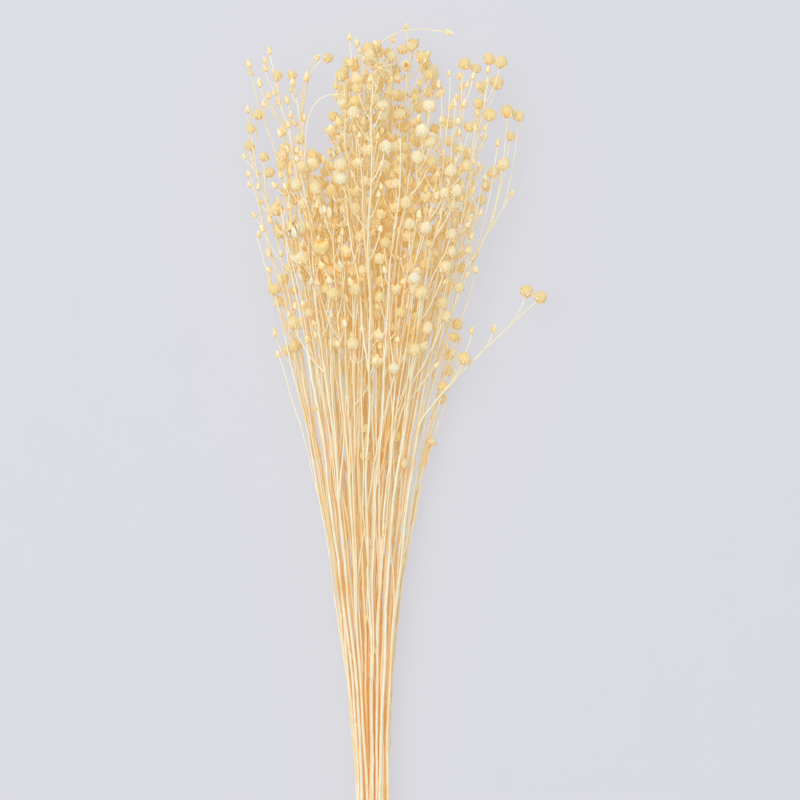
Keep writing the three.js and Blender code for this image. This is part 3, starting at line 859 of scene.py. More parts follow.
draws = random_stream(FILL_SEED)
for stem in stems:
    stem.host = None
    stem.sides = []
for i, stem in enumerate(stems):
    if in_free_spray(i) and not is_bare(i):
        add_sides(stem, SPRAY_SIDE_STALKS, SIDE_REACH_CLOSE, young_bud, True)
for i, stem in enumerate(stems):
    in_crown = stem.top > CROWN_LOW and not in_free_spray(i)
    add_sides(stem, SIDE_STALKS + (CROWN_SIDE_STALKS if in_crown else 0), SIDE_REACH, young_radius, False)
print("side stalks:", sum(len(stem.sides) for stem in stems))

# %% [markdown]
# Young bolls, buds and dried flower stars sit on short twigs, on the stems and on the side stalks alike.

# %% Young twigs
YOUNG_REACH = (7, 20)
YOUNG_REACH_CLOSE = (3, 9)
YOUNG_TOP_GAP = 6
STEM_YOUNG = 12
STEM_YOUNG_ZONE = 120
SIDE_YOUNG = 3
SIDE_YOUNG_ZONE = 80
LOWEST_YOUNG = 312


def young_twig(stalk, place, count, zone, is_free):
    down = lerp(YOUNG_TOP_GAP, zone, (place + next(draws)) / count)
    root, along, _, _ = root_on_stem(stalk, down)
    reach = between(*(YOUNG_REACH_CLOSE if is_free else YOUNG_REACH))
    return leaning_branch(stalk, place, (root, along, reach, None), young_bud if is_free else young_radius)


def fits(twig, is_free):
    """Whether a young boll is in the head, and inside its outline."""
    return twig.boll.centre[1] > LOWEST_YOUNG and (is_free or in_body(twig.boll.centre))


def add_young(stalk, count, zone, is_free):
    for place in range(count):
        grow = lambda attempt: young_twig(stalk, place, count, zone, is_free)
        test = lambda twig: fits(twig, is_free) and branch_is_clear(stalk, twig)
        keep_branch(stalk, first_clear(grow, test, SIDE_TRIES))


grown = [part for stem in stems for part in (stem, *stem.branches)]
for i, stem in enumerate(stems):
    if not is_bare(i):
        add_young(stem, STEM_YOUNG, STEM_YOUNG_ZONE, in_free_spray(i))
    for side in stem.sides:
        add_young(side, SIDE_YOUNG, min(SIDE_YOUNG_ZONE, side.top - side.root - YOUNG_TOP_GAP), side.is_free)
stalks = [stalk for stem in stems for stalk in (stem, *stem.sides)]
all_bolls = [part.boll for stalk in stalks for part in (stalk, *stalk.branches)]
print("bolls in the solids:", len(grown), "and in all:", len(all_bolls))

# %% [markdown]
# ## Smooth stalks
# A stalk could be a swept mesh made by hand, but a plant has hundreds of them, all different. So a skeleton
# of bare lines is drawn first, and a node tree gives it its flesh. Each point of the skeleton carries what
# the tree needs: how thick the stalk is there, how far along it lies and how golden it is.

# %% Strands of a stem
STALK_STEP = 6
KINK_LOW = 0.04  # mm, how uneven a stalk's line is by the band
KINK_HIGH = 0.22  # and in the head
TWIG_POINTS = 8
TWIG_R = 0.36
TWIG_FLARE = 0.24  # extra radius where a twig leaves its stem
FLARE_SHARE = 0.12
HEAD_SLIMNESS = 0.8  # the solids' stems are a little stouter than the real ones up there
UNEVEN = 0.1  # how much a stalk's thickness varies
LOWEST_AXIS = 0.6  # mm over the table
WOBBLE_LOW = 0.35
WOBBLE_HIGH = 1.1  # in the head the stalks are thin and bend more
WOBBLE_LONG = 27
WOBBLE_SHORT = 11
PHASE_LONG = 9  # turns a stalk's own phase into where its two waves start
PHASE_SHORT = 5
LOOK_SEED = 11

look = np.random.default_rng(LOOK_SEED)


def strand(points, radii, tone):
    points = np.array(points)
    pieces = np.linalg.norm(np.diff(points, axis=0), axis=1)
    radii = np.array(radii) * look.uniform(1 - UNEVEN, 1 + UNEVEN, len(points))
    return SimpleNamespace(points=points, radii=radii, reach=np.append(0, np.cumsum(pieces)), tone=tone)


def stalk_point(stalk, y):
    """A point on the smooth line of a stem or side stalk, with the small bends that growth leaves."""
    phase = stalk.phase
    if stalk.host:
        phase = lerp(stalk.host.phase, stalk.phase, (y - stalk.root) / (stalk.top - stalk.root))
    size = lerp(WOBBLE_LOW, WOBBLE_HIGH, head_share(y))
    far = size * math.sin(y / WOBBLE_LONG + PHASE_LONG * phase)
    near = size * math.sin(y / WOBBLE_SHORT + PHASE_SHORT * phase)
    line = side_point(stalk, y) if stalk.host else stem_point(stalk, y)
    return line + (far + near / 2, 0, far / 2 - near)


def stalk_radius(stalk, y):
    if not stalk.host:
        return stem_radius(stalk, y) * lerp(1, HEAD_SLIMNESS, min(head_share(y), 1))
    return lerp(SIDE_R, SIDE_TIP_R, (y - stalk.root) / (stalk.top - stalk.root))


def stalk_strand(stalk, tone):
    low = stalk.root if stalk.host else stalk.cut
    heights = np.linspace(low, stalk.top, math.ceil((stalk.top - low) / STALK_STEP) + 1)
    kinks = look.normal(0, 1, (len(heights), 3)) * (1, 0, 1)
    kinks *= [[lerp(KINK_LOW, KINK_HIGH, min(head_share(y), 1))] for y in heights]
    kinks[-1] = 0
    points = [stalk_point(stalk, y) for y in heights] + kinks
    points[:, 2] = np.maximum(points[:, 2], LOWEST_AXIS)
    return strand(points, [stalk_radius(stalk, y) for y in heights], tone)


def branch_point(stalk, branch, share):
    """A point of a branch's curve, which starts on the smooth line of what it grows from."""
    curve = branch.curve
    host = branch.host
    root = branch_point(stalk, host, FORK_AT) if host else stalk_point(stalk, curve.root[1])
    drift = (root - curve.root) * (1 - share) ** 2
    return bezier(curve.root, curve.control, curve.end, share) + curve.lift * share + drift


def branch_strand(stalk, branch, tone):
    shares = np.linspace(0, 1, TWIG_POINTS)
    radii = TWIG_R + TWIG_FLARE * np.exp(-shares / FLARE_SHARE)
    return strand([branch_point(stalk, branch, share) for share in shares], radii, tone)


# %% [markdown]
# Dry flax sheds fibres. Here and there a hair-thin one has come loose from the lower stalk and curls away,
# which is what makes the straight stems look real from close by.

# %% Loose fibres
FIBRES_A_STEM = 3
FIBRE_R = 0.24
FIBRE_POINTS = 14
FIBRE_SHORT = 8
FIBRE_LONG = 34
FIBRE_CURL = (2.4, 8)
FIBRE_SEAT = 0.8  # of the stem's radius, where it comes loose
FIBRE_SWING = 2.2
FIBRE_STRAY = 1
FIBRE_SAG = 0.5
FIBRE_LOWEST = -20
FIBRE_HIGHEST = 260


def fibre_strand(stem, tone):
    """A fibre that starts on its stem, runs up along it and curls away."""
    low = look.uniform(FIBRE_LOWEST, FIBRE_HIGHEST)
    length = look.uniform(FIBRE_SHORT, FIBRE_LONG)
    root = stem_point(stem, low)
    turn = math.atan2(root[2] - mid_z(low), root[0] - mid_x(low)) + look.uniform(-FIBRE_STRAY, FIBRE_STRAY)
    curl = look.uniform(*FIBRE_CURL)
    points = []
    for share in np.linspace(0, 1, FIBRE_POINTS):
        point = stalk_point(stem, low + length * share)
        away = stem_radius(stem, low) * FIBRE_SEAT + curl * share**2
        swing = turn + FIBRE_SWING * share
        point = point + away * np.array([math.cos(swing), -FIBRE_SAG * share**2, math.sin(swing)])
        points.append(np.maximum(point, (-np.inf, -np.inf, 2 * FIBRE_R)))
    return strand(points, np.linspace(FIBRE_R, FIBRE_R / 3, FIBRE_POINTS), tone)


# %% [markdown]
# ## Seed bolls
# A flax boll is a round capsule with five chambers, so it has five soft lobes, and a short dry beak. Five
# pointed sepals hold its base. There are hundreds of bolls, so each kind is modelled once with about a
# hundred faces, at a radius of 1, and then placed by the node tree. A profile row gives how far out and up
# a ring lies, and how much its lobes stand out and up.

# %% Closed bolls and buds
CHAMBERS = 5
FACETS = 2 * CHAMBERS
PROFILES = {
    "ripe": [(0, -0.92, 0, 0), (0.54, -0.80, 0.02, 0), (0.92, -0.40, 0.03, 0), (1.0, 0.06, 0.03, 0),
             (0.84, 0.54, 0.03, 0), (0.46, 0.86, 0.03, 0), (0.09, 1.0, 0, 0), (0, 1.16, 0, 0)],
    "shrunken": [(0, -0.90, 0, 0), (0.46, -0.76, 0.06, 0), (0.84, -0.36, 0.10, 0), (0.92, 0.06, 0.12, 0),
                 (0.74, 0.50, 0.12, 0), (0.34, 0.80, 0.08, 0), (0.08, 0.90, 0, 0), (0, 1.12, 0, 0)],
    "ajar": [(0, -0.92, 0, 0), (0.52, -0.80, 0.03, 0), (0.92, -0.38, 0.05, 0), (1.02, 0.10, 0.06, 0),
             (0.84, 0.58, 0.07, 0.03), (0.44, 0.92, 0.30, 0.08), (0.26, 0.55, 0.35, 0), (0, 0.30, 0, 0)],
    "cup": [(0, -0.92, 0, 0), (0.50, -0.82, 0, 0), (0.88, -0.42, 0.03, 0), (1.02, 0.10, 0.05, 0.06),
            (1.04, 0.58, 0.08, 0.26), (0.96, 0.54, 0.08, 0.26), (0.84, -0.05, 0.04, 0), (0, -0.72, 0, 0)],
    "bud": [(0, -0.95, 0, 0), (0.30, -0.88, 0, 0), (0.58, -0.50, 0.04, 0), (0.66, -0.05, 0.06, 0),
            (0.54, 0.45, 0.08, 0), (0.30, 0.90, 0.06, 0), (0.10, 1.2, 0, 0), (0, 1.36, 0, 0)],
}
RIM_RING = 5  # in an open boll, the faces past this ring are the lining
STALK, PAPER, LINING, PITH, LEAF, PETAL = range(6)


def turned(profile, is_open=False, outer=PAPER):
    """A closed shell from a profile, with each face's finish."""
    points = [(0, 0, profile[0][1])]
    for out, up, lobe_out, lobe_up in profile[1:-1]:
        for k in range(FACETS):
            turn = 2 * math.pi * k / FACETS
            lobe = math.cos(CHAMBERS * turn)
            push = out * (1 + lobe_out * lobe)
            points.append((push * math.cos(turn), push * math.sin(turn), up + lobe_up * lobe))
    points.append((0, 0, profile[-1][1]))
    rings = len(profile) - 2
    faces = []
    finish = []
    for k in range(FACETS):
        after = (k + 1) % FACETS
        columns = [(1 + ring * FACETS + k, 1 + ring * FACETS + after) for ring in range(rings)]
        faces.append((0, columns[0][1], columns[0][0]))
        faces += [(low[0], low[1], high[1], high[0]) for low, high in zip(columns, columns[1:])]
        faces.append((columns[-1][0], columns[-1][1], len(points) - 1))
        finish += [LINING if is_open and ring >= RIM_RING else outer for ring in range(rings + 1)]
    return points, faces, finish


# %% [markdown]
# A burst boll is a ring of loose chamber walls. A wall, a sepal, a ray of a dried star, a petal and a leaf
# scrap are all thin closed strips that end in a point, so one function makes them. A station of a strip
# gives how far out and up it lies, half its width, and how far its middle bulges out of its edges.

# %% Strips for walls, sepals, stars and leaf scraps
STRIP_THICKNESS = 0.06


def strip(stations, tip, turn=0, tilt=0, outer=LEAF, inner=LEAF):
    """A thin closed strip, turned round the boll's axis and tilted outwards from its foot."""
    points = []
    for out, up, width, bulge in stations:
        crest = out + bulge
        points += [(out, width, up), (crest, 0, up), (out, -width, up), (crest - STRIP_THICKNESS, 0, up)]
    points = np.array([*points, (tip[0], 0, tip[1])])
    foot = points[0] * (1, 0, 1)
    lean = np.array([[math.cos(tilt), 0, math.sin(tilt)], [0, 1, 0], [-math.sin(tilt), 0, math.cos(tilt)]])
    spin = np.array([[math.cos(turn), -math.sin(turn), 0], [math.sin(turn), math.cos(turn), 0], [0, 0, 1]])
    points = ((points - foot) @ lean.T + foot) @ spin.T
    last = len(points) - 5
    faces = [(3, 2, 1, 0)]
    finish = [outer]
    for low in range(0, last, 4):
        faces += [(low + k, low + (k + 1) % 4, low + 4 + (k + 1) % 4, low + 4 + k) for k in range(4)]
        finish += [outer, outer, inner, inner]
    faces += [(last + k, last + (k + 1) % 4, last + 4) for k in range(4)]
    return points, faces, finish + [outer, outer, inner, inner]


def ring_of(turns, tilts, **shape):
    return [strip(turn=turn, tilt=tilt, **shape) for turn, tilt in zip(turns, tilts)]


# %% Make each kind once
FIFTHS = [2 * math.pi * (k + 0.5) / CHAMBERS for k in range(CHAMBERS)]
SEPAL = {"stations": [(0.26, -0.97, 0.16, 0.06), (0.86, -0.60, 0.24, 0.10)], "tip": (1.02, -0.02)}
BUD_SEPAL = {"stations": [(0.20, -0.98, 0.14, 0.06), (0.66, -0.50, 0.22, 0.12)], "tip": (0.66, 0.55)}
WALL = {
    "stations": [
        (0.20, -0.92, 0.13, 0.06), (0.62, -0.62, 0.44, 0.20), (0.80, 0.05, 0.56, 0.24),
        (0.62, 0.62, 0.36, 0.20),
    ],
    "tip": (0.42, 1.10), "outer": PAPER, "inner": LINING,
}
RAY = {
    "stations": [(0.03, -0.80, 0.07, 0.05), (0.70, -0.10, 0.06, 0.05)],
    "tip": (1.7, 0.45), "outer": STALK, "inner": STALK,
}
PETALS = {
    "stations": [(0.05, -0.1, 0.2, 0.1), (0.6, 0.1, 0.3, 0.1)],
    "tip": (1.1, 0.2), "outer": PETAL, "inner": PETAL,
}
SCRAP = {
    "stations": [(0.0, 0.0, 0.04, 0.03), (0.03, 0.3, 0.12, 0.05), (0.1, 0.7, 0.09, 0.04)],
    "tip": (0.26, 1.0),
}
KINDS = {
    "0_ripe": [turned(PROFILES["ripe"]), *ring_of(FIFTHS, [0] * CHAMBERS, **SEPAL)],
    "1_shrunken": [turned(PROFILES["shrunken"]), *ring_of(FIFTHS, [0.1, -0.1, 0.3, 0, 0.2], **SEPAL)],
    "2_ajar": [turned(PROFILES["ajar"], is_open=True), *ring_of(FIFTHS, [0] * CHAMBERS, **SEPAL)],
    "3_bud": [turned(PROFILES["bud"], outer=LEAF), *ring_of(FIFTHS, [0] * CHAMBERS, **BUD_SEPAL)],
    "4_burst": ring_of(FIFTHS, [0.15, 0.4, 0.1, 0.6, 0.3], **WALL),
    "5_husk": [
        *ring_of([0.2, 1.7, 3.4], [0.1, 0.9, 0.5], **WALL),
        *ring_of([2.6, 4.6, 5.6], [0.2, 0.5, 0.1], **SEPAL),
    ],
    "6_star": ring_of([0.1, 1.0, 1.8, 2.9, 3.7, 4.4, 5.5], [0, 0.3, -0.1, 0.2, 0.4, 0, 0.1], **RAY),
    "7_leaf": [strip(**SCRAP)],
    "8_cup": [turned(PROFILES["cup"], is_open=True), *ring_of(FIFTHS, [0.2, -0.1, 0.3, 0, 0.1], **SEPAL)],
    "9_petals": ring_of(FIFTHS, [0, 0.1, -0.1, 0.2, 0], **PETALS),
}
kinds = bpy.data.collections.new("kinds")


def face_outwards(mesh):
    work = bmesh.new()
    work.from_mesh(mesh)
    bmesh.ops.recalc_face_normals(work, faces=work.faces)
    work.to_mesh(mesh)
    work.free()


def add_kind(name, parts):
    """Joins points, faces and finishes into one small mesh, for the node tree to place."""
    points = []
    faces = []
    finish = []
    for part_points, part_faces, part_finish in parts:
        faces += [tuple(len(points) + corner for corner in face) for face in part_faces]
        points += [tuple(point) for point in part_points]
        finish += part_finish
    mesh = bpy.data.meshes.new(name)
    mesh.from_pydata(points, [], faces, shade_flat=False)
    skin = [(x / (math.hypot(x, y) or 1), y / (math.hypot(x, y) or 1), z) for x, y, z in points]
    mesh.attributes.new("skin", "FLOAT_VECTOR", "POINT").data.foreach_set("vector", np.ravel(skin))
    mesh.attributes.new("finish", "INT", "FACE").data.foreach_set("value", finish)
    face_outwards(mesh)
    kinds.objects.link(bpy.data.objects.new(name, mesh))
    print(name, len(faces), "faces")


for name, parts in KINDS.items():
    add_kind(name, parts)
RIPE, SHRUNKEN, AJAR, BUD, BURST, HUSK, STAR, SCRAP_KIND, CUP, PETAL_KIND = range(len(KINDS))

# %% [markdown]
# ## Which boll goes where
# Many bolls are closed and some of them have shrunk as they dried. Others have opened to a cup, stand ajar,
# or have burst and left their pale papery walls. Those near the middle of the bunch are made more golden,
# which is painted shade for the deep inside of the bunch. On the left the photograph shows a cluster of
# large torn capsules, and two flowers of other plants have caught on the crown: a pale one with long rays
# and a small rusty one.

# %% Pieces on a stem
SLIM_BELOW = 3
KIND_SHARES = {RIPE: 0.42, SHRUNKEN: 0.2, AJAR: 0.06, CUP: 0.24, BURST: 0.04, HUSK: 0.04}
CLOSED_SHARES = {RIPE: 0.8, SHRUNKEN: 0.2}
STAR_SHARE = 0.10
OPEN_WITHIN = 0.9
SLENDEREST = 0.84  # a boll's least half width, as a share of its solid's
TORN_PLACE = np.array([-33, 381])  # a cluster of large torn capsules shows here
TORN_REACH = 22
TORN_SIZE = 1.35
TORN_TONE = 0.3  # torn walls let the light through, so they look paler
CAUGHT = [  # flowers that lie on the highest boll near a place: the place, how near, the kind and its size
    ((5, 474), 8, STAR, 5.5),
    ((20, 484), 3, PETAL_KIND, 1.7),
]
CAUGHT_SHARE = {STAR: 0.45, PETAL_KIND: 0.1}  # of its size, how far its middle stands off the boll
LEAVES_A_STEM = 3
LEAF_LENGTH = (4, 9)
LEAF_LEAN = (0.05, 0.35)
LEAF_SEAT = 0.6  # of the stem's radius, where a leaf sits
LOWEST_LEAF = 60
HIGHEST_LEAF = 0.85  # of the stem's height
LEAF_STEP = 2
OWN_TONE = 0.9  # how much more golden one piece may be than another
FREE_TONE = 0.35  # how much more golden the bolls on the free sprays are
# The core's extra gold is painted shade for the deep inside of the bunch.
CORE_PAINTED_SHADE = 0.3  # how much more golden the bunch's core is
CORE_SHADE_SOFTNESS = 0.6  # below 1, the core's golden tone reaches far out
TONE_CROWDING = 1.4  # above 1, most pieces are pale
SKIN_TONE = 0.6  # of a boll's tone, for a stalk in the same place


def tone_and_core_shade_at(point):
    # A piece's tone: a random part of its own, plus painted shade that makes it more golden towards the core.
    inside = max(0, 1 - off_middle(point))
    own = OWN_TONE * look.uniform() ** TONE_CROWDING
    return float(np.clip(own + CORE_PAINTED_SHADE * inside**CORE_SHADE_SOFTNESS, 0, 1))


def placed(kind, centre, aim, size):
    spin = look.uniform(0, 2 * math.pi)
    return SimpleNamespace(kind=kind, centre=centre, aim=aim, size=size, spin=spin, tone=tone_and_core_shade_at(centre))


def one_by_share(shares):
    return look.choice(list(shares), p=list(shares.values()))


def boll_piece(boll, is_closed):
    """A boll, bud or star in a boll's place. Those on the free sprays and by the table stay closed."""
    size = boll.radius * look.uniform(SLENDEREST, 1, 3)
    has_room = boll.centre[2] > 2 * boll.radius and not is_closed and off_middle(boll.centre) < OPEN_WITHIN
    is_torn = boll.centre[2] > mid_z(boll.centre[1]) and math.dist(boll.centre[:2], TORN_PLACE) < TORN_REACH
    if boll.radius < SLIM_BELOW:
        kind = STAR if has_room and look.uniform() < STAR_SHARE else BUD
    elif is_torn:
        kind = look.choice([BURST, HUSK, CUP])
        size *= TORN_SIZE
    elif has_room:
        kind = one_by_share(KIND_SHARES)
    else:
        kind = one_by_share(CLOSED_SHARES)
    piece = placed(kind, boll.centre, boll.direction, size)
    if is_closed:
        piece.tone = min(1, piece.tone + FREE_TONE)
    elif is_torn:
        piece.tone *= TORN_TONE
    return piece


def highest_boll(bolls, spot, within):
    near = [boll for boll in bolls if math.dist(boll.centre[:2], spot) < within]
    return max(near, key=lambda boll: boll.centre[2] + boll.radius)


def caught_pieces(bolls):
    """The dried flowers that have caught on one of these bolls."""
    for spot, within, kind, size in CAUGHT:
        boll = highest_boll(all_bolls, spot, within)
        if any(boll is own for own in bolls):
            print("caught on the boll at", boll.centre.round(1))
            above = np.array([0, 0, boll.radius + CAUGHT_SHARE[kind] * size])
            yield placed(kind, boll.centre + above, (0, 0, 1), np.ones(3) * size)


def leaf_piece(stem):
    """A leaf scrap on the side of a stem."""
    y = look.uniform(LOWEST_LEAF, HIGHEST_LEAF * stem.top)
    along = unit(stalk_point(stem, y + LEAF_STEP) - stalk_point(stem, y))
    turn = look.uniform(0, 2 * math.pi)
    aside = np.array([math.cos(turn), 0, math.sin(turn)])
    root = stalk_point(stem, y) + aside * stem_radius(stem, y) * LEAF_SEAT
    aim = unit(along + aside * look.uniform(*LEAF_LEAN))
    return placed(SCRAP_KIND, root, aim, np.ones(3) * look.uniform(*LEAF_LENGTH))


# %% [markdown]
# The skeleton becomes a mesh of loose edges and single points. Attributes on its points hold the sizes and
# turns.

# %% Skeleton mesh
def give(mesh, name, kind, values):
    attribute = mesh.attributes.new(name, kind, "POINT")
    attribute.data.foreach_set("vector" if kind == "FLOAT_VECTOR" else "value", np.ravel(values))


def skeleton(name, strands, pieces):
    points = in_frame(np.vstack([*(s.points for s in strands), *(p.centre for p in pieces)]))
    edges = []
    start = 0
    for s in strands:
        edges += [(start + i, start + i + 1) for i in range(len(s.points) - 1)]
        start += len(s.points)
    mesh = bpy.data.meshes.new(name)
    mesh.from_pydata(points, edges, [])
    give(mesh, "thickness", "FLOAT", [r * MM for s in strands for r in s.radii] + [0] * len(pieces))
    give(mesh, "reach", "FLOAT", [reach for s in strands for reach in s.reach] + [0] * len(pieces))
    give(mesh, "tone", "FLOAT", [s.tone for s in strands for _ in s.points] + [p.tone for p in pieces])
    give(mesh, "is_piece", "BOOLEAN", [False] * start + [True] * len(pieces))
    give(mesh, "kind", "INT", [0] * start + [p.kind for p in pieces])
    give(mesh, "aim", "FLOAT_VECTOR", [(0, 0, 1)] * start + [tuple(p.aim) for p in pieces])
    give(mesh, "size", "FLOAT_VECTOR", [(0, 0, 0)] * start + [tuple(p.size * MM) for p in pieces])
    give(mesh, "spin", "FLOAT", [0] * start + [p.spin for p in pieces])
    return mesh

# %% [markdown]
# ## Materials
# Colours are written as sRGB hex, as they are picked from a swatch, and turned to the linear values that
# Blender mixes. One small function adds a node, and another feeds it. Dry plant tissue is thin, so light
# soaks through it from all sides. A true translucent shader would need far more samples, so a faint
# constant glow stands for that light: painted light, which also lifts the shaded parts. Where stalks and
# bolls stand close together, an ambient occlusion node turns each colour deeper and more golden. This is
# painted shade, for the light that bounces from one golden skin to the next and comes back deeper.

# %% Helpers for node trees
GLOW = "#E6C67A"  # the light that soaks through dry tissue
PAPER_GLOW = 0.3
LINING_GLOW = 0.34
STRAW_GLOW = 0.2
# The painted shade follows an ambient occlusion node: how far it looks, its samples, and its open and
# sheltered ends.
SHELTER_REACH = 7  # mm
SHELTER_SAMPLES = 3
MOST_OPEN = 0.74
MOST_SHELTERED = 0.2


def linear(hex_colour):
    """An sRGB hex colour as linear red, green, blue and alpha."""
    channels = [int(hex_colour[i:i + 2], 16) / 255 for i in (1, 3, 5)]
    return (*(c / 12.92 if c <= 0.04045 else ((c + 0.055) / 1.055) ** 2.4 for c in channels), 1)


def feed(node, feeds):
    """Feeds a node's inputs, by identifier or name, with constants, hex colours, outputs or whole nodes."""
    for key, value in feeds.items():
        socket = next((s for s in node.inputs if s.identifier == key), None) or node.inputs[key]
        if isinstance(value, bpy.types.Node):
            value = next(output for output in value.outputs if output.enabled)
        if isinstance(value, bpy.types.NodeSocket):
            node.id_data.links.new(value, socket)
        else:
            socket.default_value = linear(value) if str(value).startswith("#") else value


def add(tree, kind, feeds=None, **settings):
    """Adds a node with its settings and feeds."""
    node = tree.nodes.new(kind)
    for name, value in settings.items():
        setattr(node, name, value)
    feed(node, feeds or {})
    return node


def layered(tree, colour, *layers):
    """A colour with others laid over it in turn, each by its own share from 0 to 1."""
    for share, over in layers:
        feeds = {"Factor_Float": share, "A_Color": colour, "B_Color": over}
        colour = add(tree, "ShaderNodeMix", feeds, data_type="RGBA")
    return colour


def painted_shade_share(tree):
    """How much other stalks and bolls keep the light off, from 0 to 1, which sets the painted shade."""
    reach = {"Distance": SHELTER_REACH * MM}
    open_sky = add(tree, "ShaderNodeAmbientOcclusion", reach, samples=SHELTER_SAMPLES).outputs["AO"]
    feeds = {"Value": open_sky, "From Min": MOST_OPEN, "From Max": MOST_SHELTERED}
    return add(tree, "ShaderNodeMapRange", feeds)


def new_material(name, glow, **constants):
    """A material with its Principled shader's plain values set."""
    material = bpy.data.materials.new(name)
    material.use_nodes = True
    shader = material.node_tree.nodes["Principled BSDF"]
    feed(shader, {"Emission Color": GLOW, "Emission Strength": glow})
    feed(shader, {key.replace("_", " "): value for key, value in constants.items()})
    return material, material.node_tree, shader


def stored(tree):
    """What the mesh stores on each point: its place on its own stalk or boll, and how golden it is there."""
    skin = add(tree, "ShaderNodeAttribute", attribute_name="skin").outputs["Vector"]
    return skin, add(tree, "ShaderNodeAttribute", attribute_name="tone").outputs["Fac"]


def sized(tree, size):
    """What a texture is fed for features of a real size in millimetres."""
    return {"Vector": add(tree, "ShaderNodeTexCoord").outputs["Object"], "Scale": 1 / (size * MM)}


# %% [markdown]
# **Bleached flax straw.** The stalk is a woody tube under a skin of parallel fibres. Bleaching leaves it
# cream on the outside and golden between the fibres, with a dull silky shine and a few brown specks at old
# leaf scars. The streaks follow the stalk, because the tree below stores on every point where it lies round
# the stalk and how far along it. Real fibres are 0.02 mm wide. They are drawn ten times as coarse, or they
# wouldn't show.

# %% Straw
STREAK_LENGTH = 16  # mm
STREAKS_ROUND = 2.6
SCAR_LENGTH = 5  # mm
STAIN_SIZE = 25  # mm

straw, tree, shader = new_material("bleached_flax_straw", STRAW_GLOW, IOR=1.5, Sheen_Weight=0.2)
skin, tone = stored(tree)
stretch = (STREAKS_ROUND, STREAKS_ROUND, 1 / STREAK_LENGTH)
drawn = add(tree, "ShaderNodeVectorMath", {0: skin, 1: stretch}, operation="MULTIPLY")
fibres = add(tree, "ShaderNodeTexNoise", {"Vector": drawn, "Scale": 1.4, "Detail": 4.0, "Roughness": 0.65})
gaps = add(tree, "ShaderNodeMapRange", {"Value": fibres, "From Min": 0.42, "From Max": 0.72})
golden = add(tree, "ShaderNodeMath", {0: gaps, 1: 0.45, 2: tone}, operation="MULTIPLY_ADD", use_clamp=True)
stains = add(tree, "ShaderNodeTexNoise", {**sized(tree, STAIN_SIZE), "Detail": 2.0})
stained = add(tree, "ShaderNodeMapRange", {"Value": stains, "From Min": 0.52, "From Max": 0.75})
scar_scale = STREAK_LENGTH / SCAR_LENGTH
specks = add(tree, "ShaderNodeTexNoise", {"Vector": drawn, "Scale": scar_scale, "Detail": 0.0})
scarred = add(tree, "ShaderNodeMapRange", {"Value": specks, "From Min": 0.72, "From Max": 0.8})
# The last layer is painted shade: a deep orange gold where other stalks and bolls stand close.
feed(shader, {
    "Base Color": layered(tree, "#E6EAE2", (golden, "#DECA92"), (stained, "#E0C68C"), (scarred, "#B98247"),
                          (painted_shade_share(tree), "#EFA84A")),
    "Roughness": add(tree, "ShaderNodeMapRange", {"Value": fibres, "To Min": 0.32, "To Max": 0.55}),
    "Normal": add(tree, "ShaderNodeBump", {"Height": fibres, "Strength": 0.5, "Distance": 0.15 * MM}),
})

# %% [markdown]
# ** Boll paper.** The ripe capsule is a thin papery wall. Its fifteen ribs stand out as pale ridges with
# golden grooves between them, and its beak is brown. Each boll has its own tone from cream to gold, painted
# more golden towards the bunch's core as painted shade. Where other bolls and stalks stand close, the colour
# is painted a deeper gold, which is painted shade too. The ribs come from the angle round the boll, so they
# can't slide, and they fade towards the poles, where they would crowd.

# %% Paper of the bolls
RIBS = 15
MOTTLE_SIZE = 2.5  # mm

paper, tree, shader = new_material("papery_boll_wall", PAPER_GLOW, IOR=1.45, Sheen_Weight=0.25)
skin, tone = stored(tree)
x, y, height = add(tree, "ShaderNodeSeparateXYZ", {"Vector": skin}).outputs
angle = add(tree, "ShaderNodeMath", {0: y, 1: x}, operation="ARCTAN2")
ribs = add(tree, "ShaderNodeMath", {0: angle, 1: float(RIBS)}, operation="MULTIPLY")
wave = add(tree, "ShaderNodeMath", {0: ribs}, operation="COSINE")
from_pole = add(tree, "ShaderNodeMath", {0: height, 1: height}, operation="MULTIPLY")
waist = add(tree, "ShaderNodeMath", {0: 1.0, 1: from_pole}, operation="SUBTRACT", use_clamp=True)
ridge, groove = (
    add(tree, "ShaderNodeMapRange", {"Value": wave, "From Min": low, "From Max": high, "To Max": waist},
        interpolation_type="SMOOTHSTEP")
    for low, high in ((0.3, 1.0), (-0.2, -0.9))
)
pale_ridge, golden_groove = (
    add(tree, "ShaderNodeMath", {0: part, 1: strength}, operation="MULTIPLY")
    for part, strength in ((ridge, 0.45), (groove, 0.4))
)
mottle = add(tree, "ShaderNodeTexNoise", {**sized(tree, MOTTLE_SIZE), "Detail": 3.0})
blotch = add(tree, "ShaderNodeMath", {0: mottle, 1: 0.7, 2: tone}, operation="MULTIPLY_ADD")
golden = add(tree, "ShaderNodeMapRange", {"Value": blotch, "From Min": 0.15, "From Max": 1.25})
beak = add(tree, "ShaderNodeMapRange", {"Value": height, "From Min": 1.02, "From Max": 1.28})
raised = add(tree, "ShaderNodeMath", {0: mottle, 1: 0.5, 2: ridge}, operation="MULTIPLY_ADD")
ribbed = add(tree, "ShaderNodeMath", {0: groove, 1: -0.6, 2: raised}, operation="MULTIPLY_ADD")
# The last layer is painted shade: a deep gold where other bolls and stalks stand close.
feed(shader, {
    "Base Color": layered(tree, "#E3E2D2", (golden, "#DEC488"), (pale_ridge, "#F0ECD4"),
                          (golden_groove, "#DAAE5C"), (beak, "#C79A5C"), (painted_shade_share(tree), "#FABA52")),
    "Roughness": add(tree, "ShaderNodeMapRange", {"Value": mottle, "To Min": 0.4, "To Max": 0.62}),
    "Normal": add(tree, "ShaderNodeBump", {"Height": ribbed, "Strength": 0.8, "Distance": 0.4 * MM}),
})
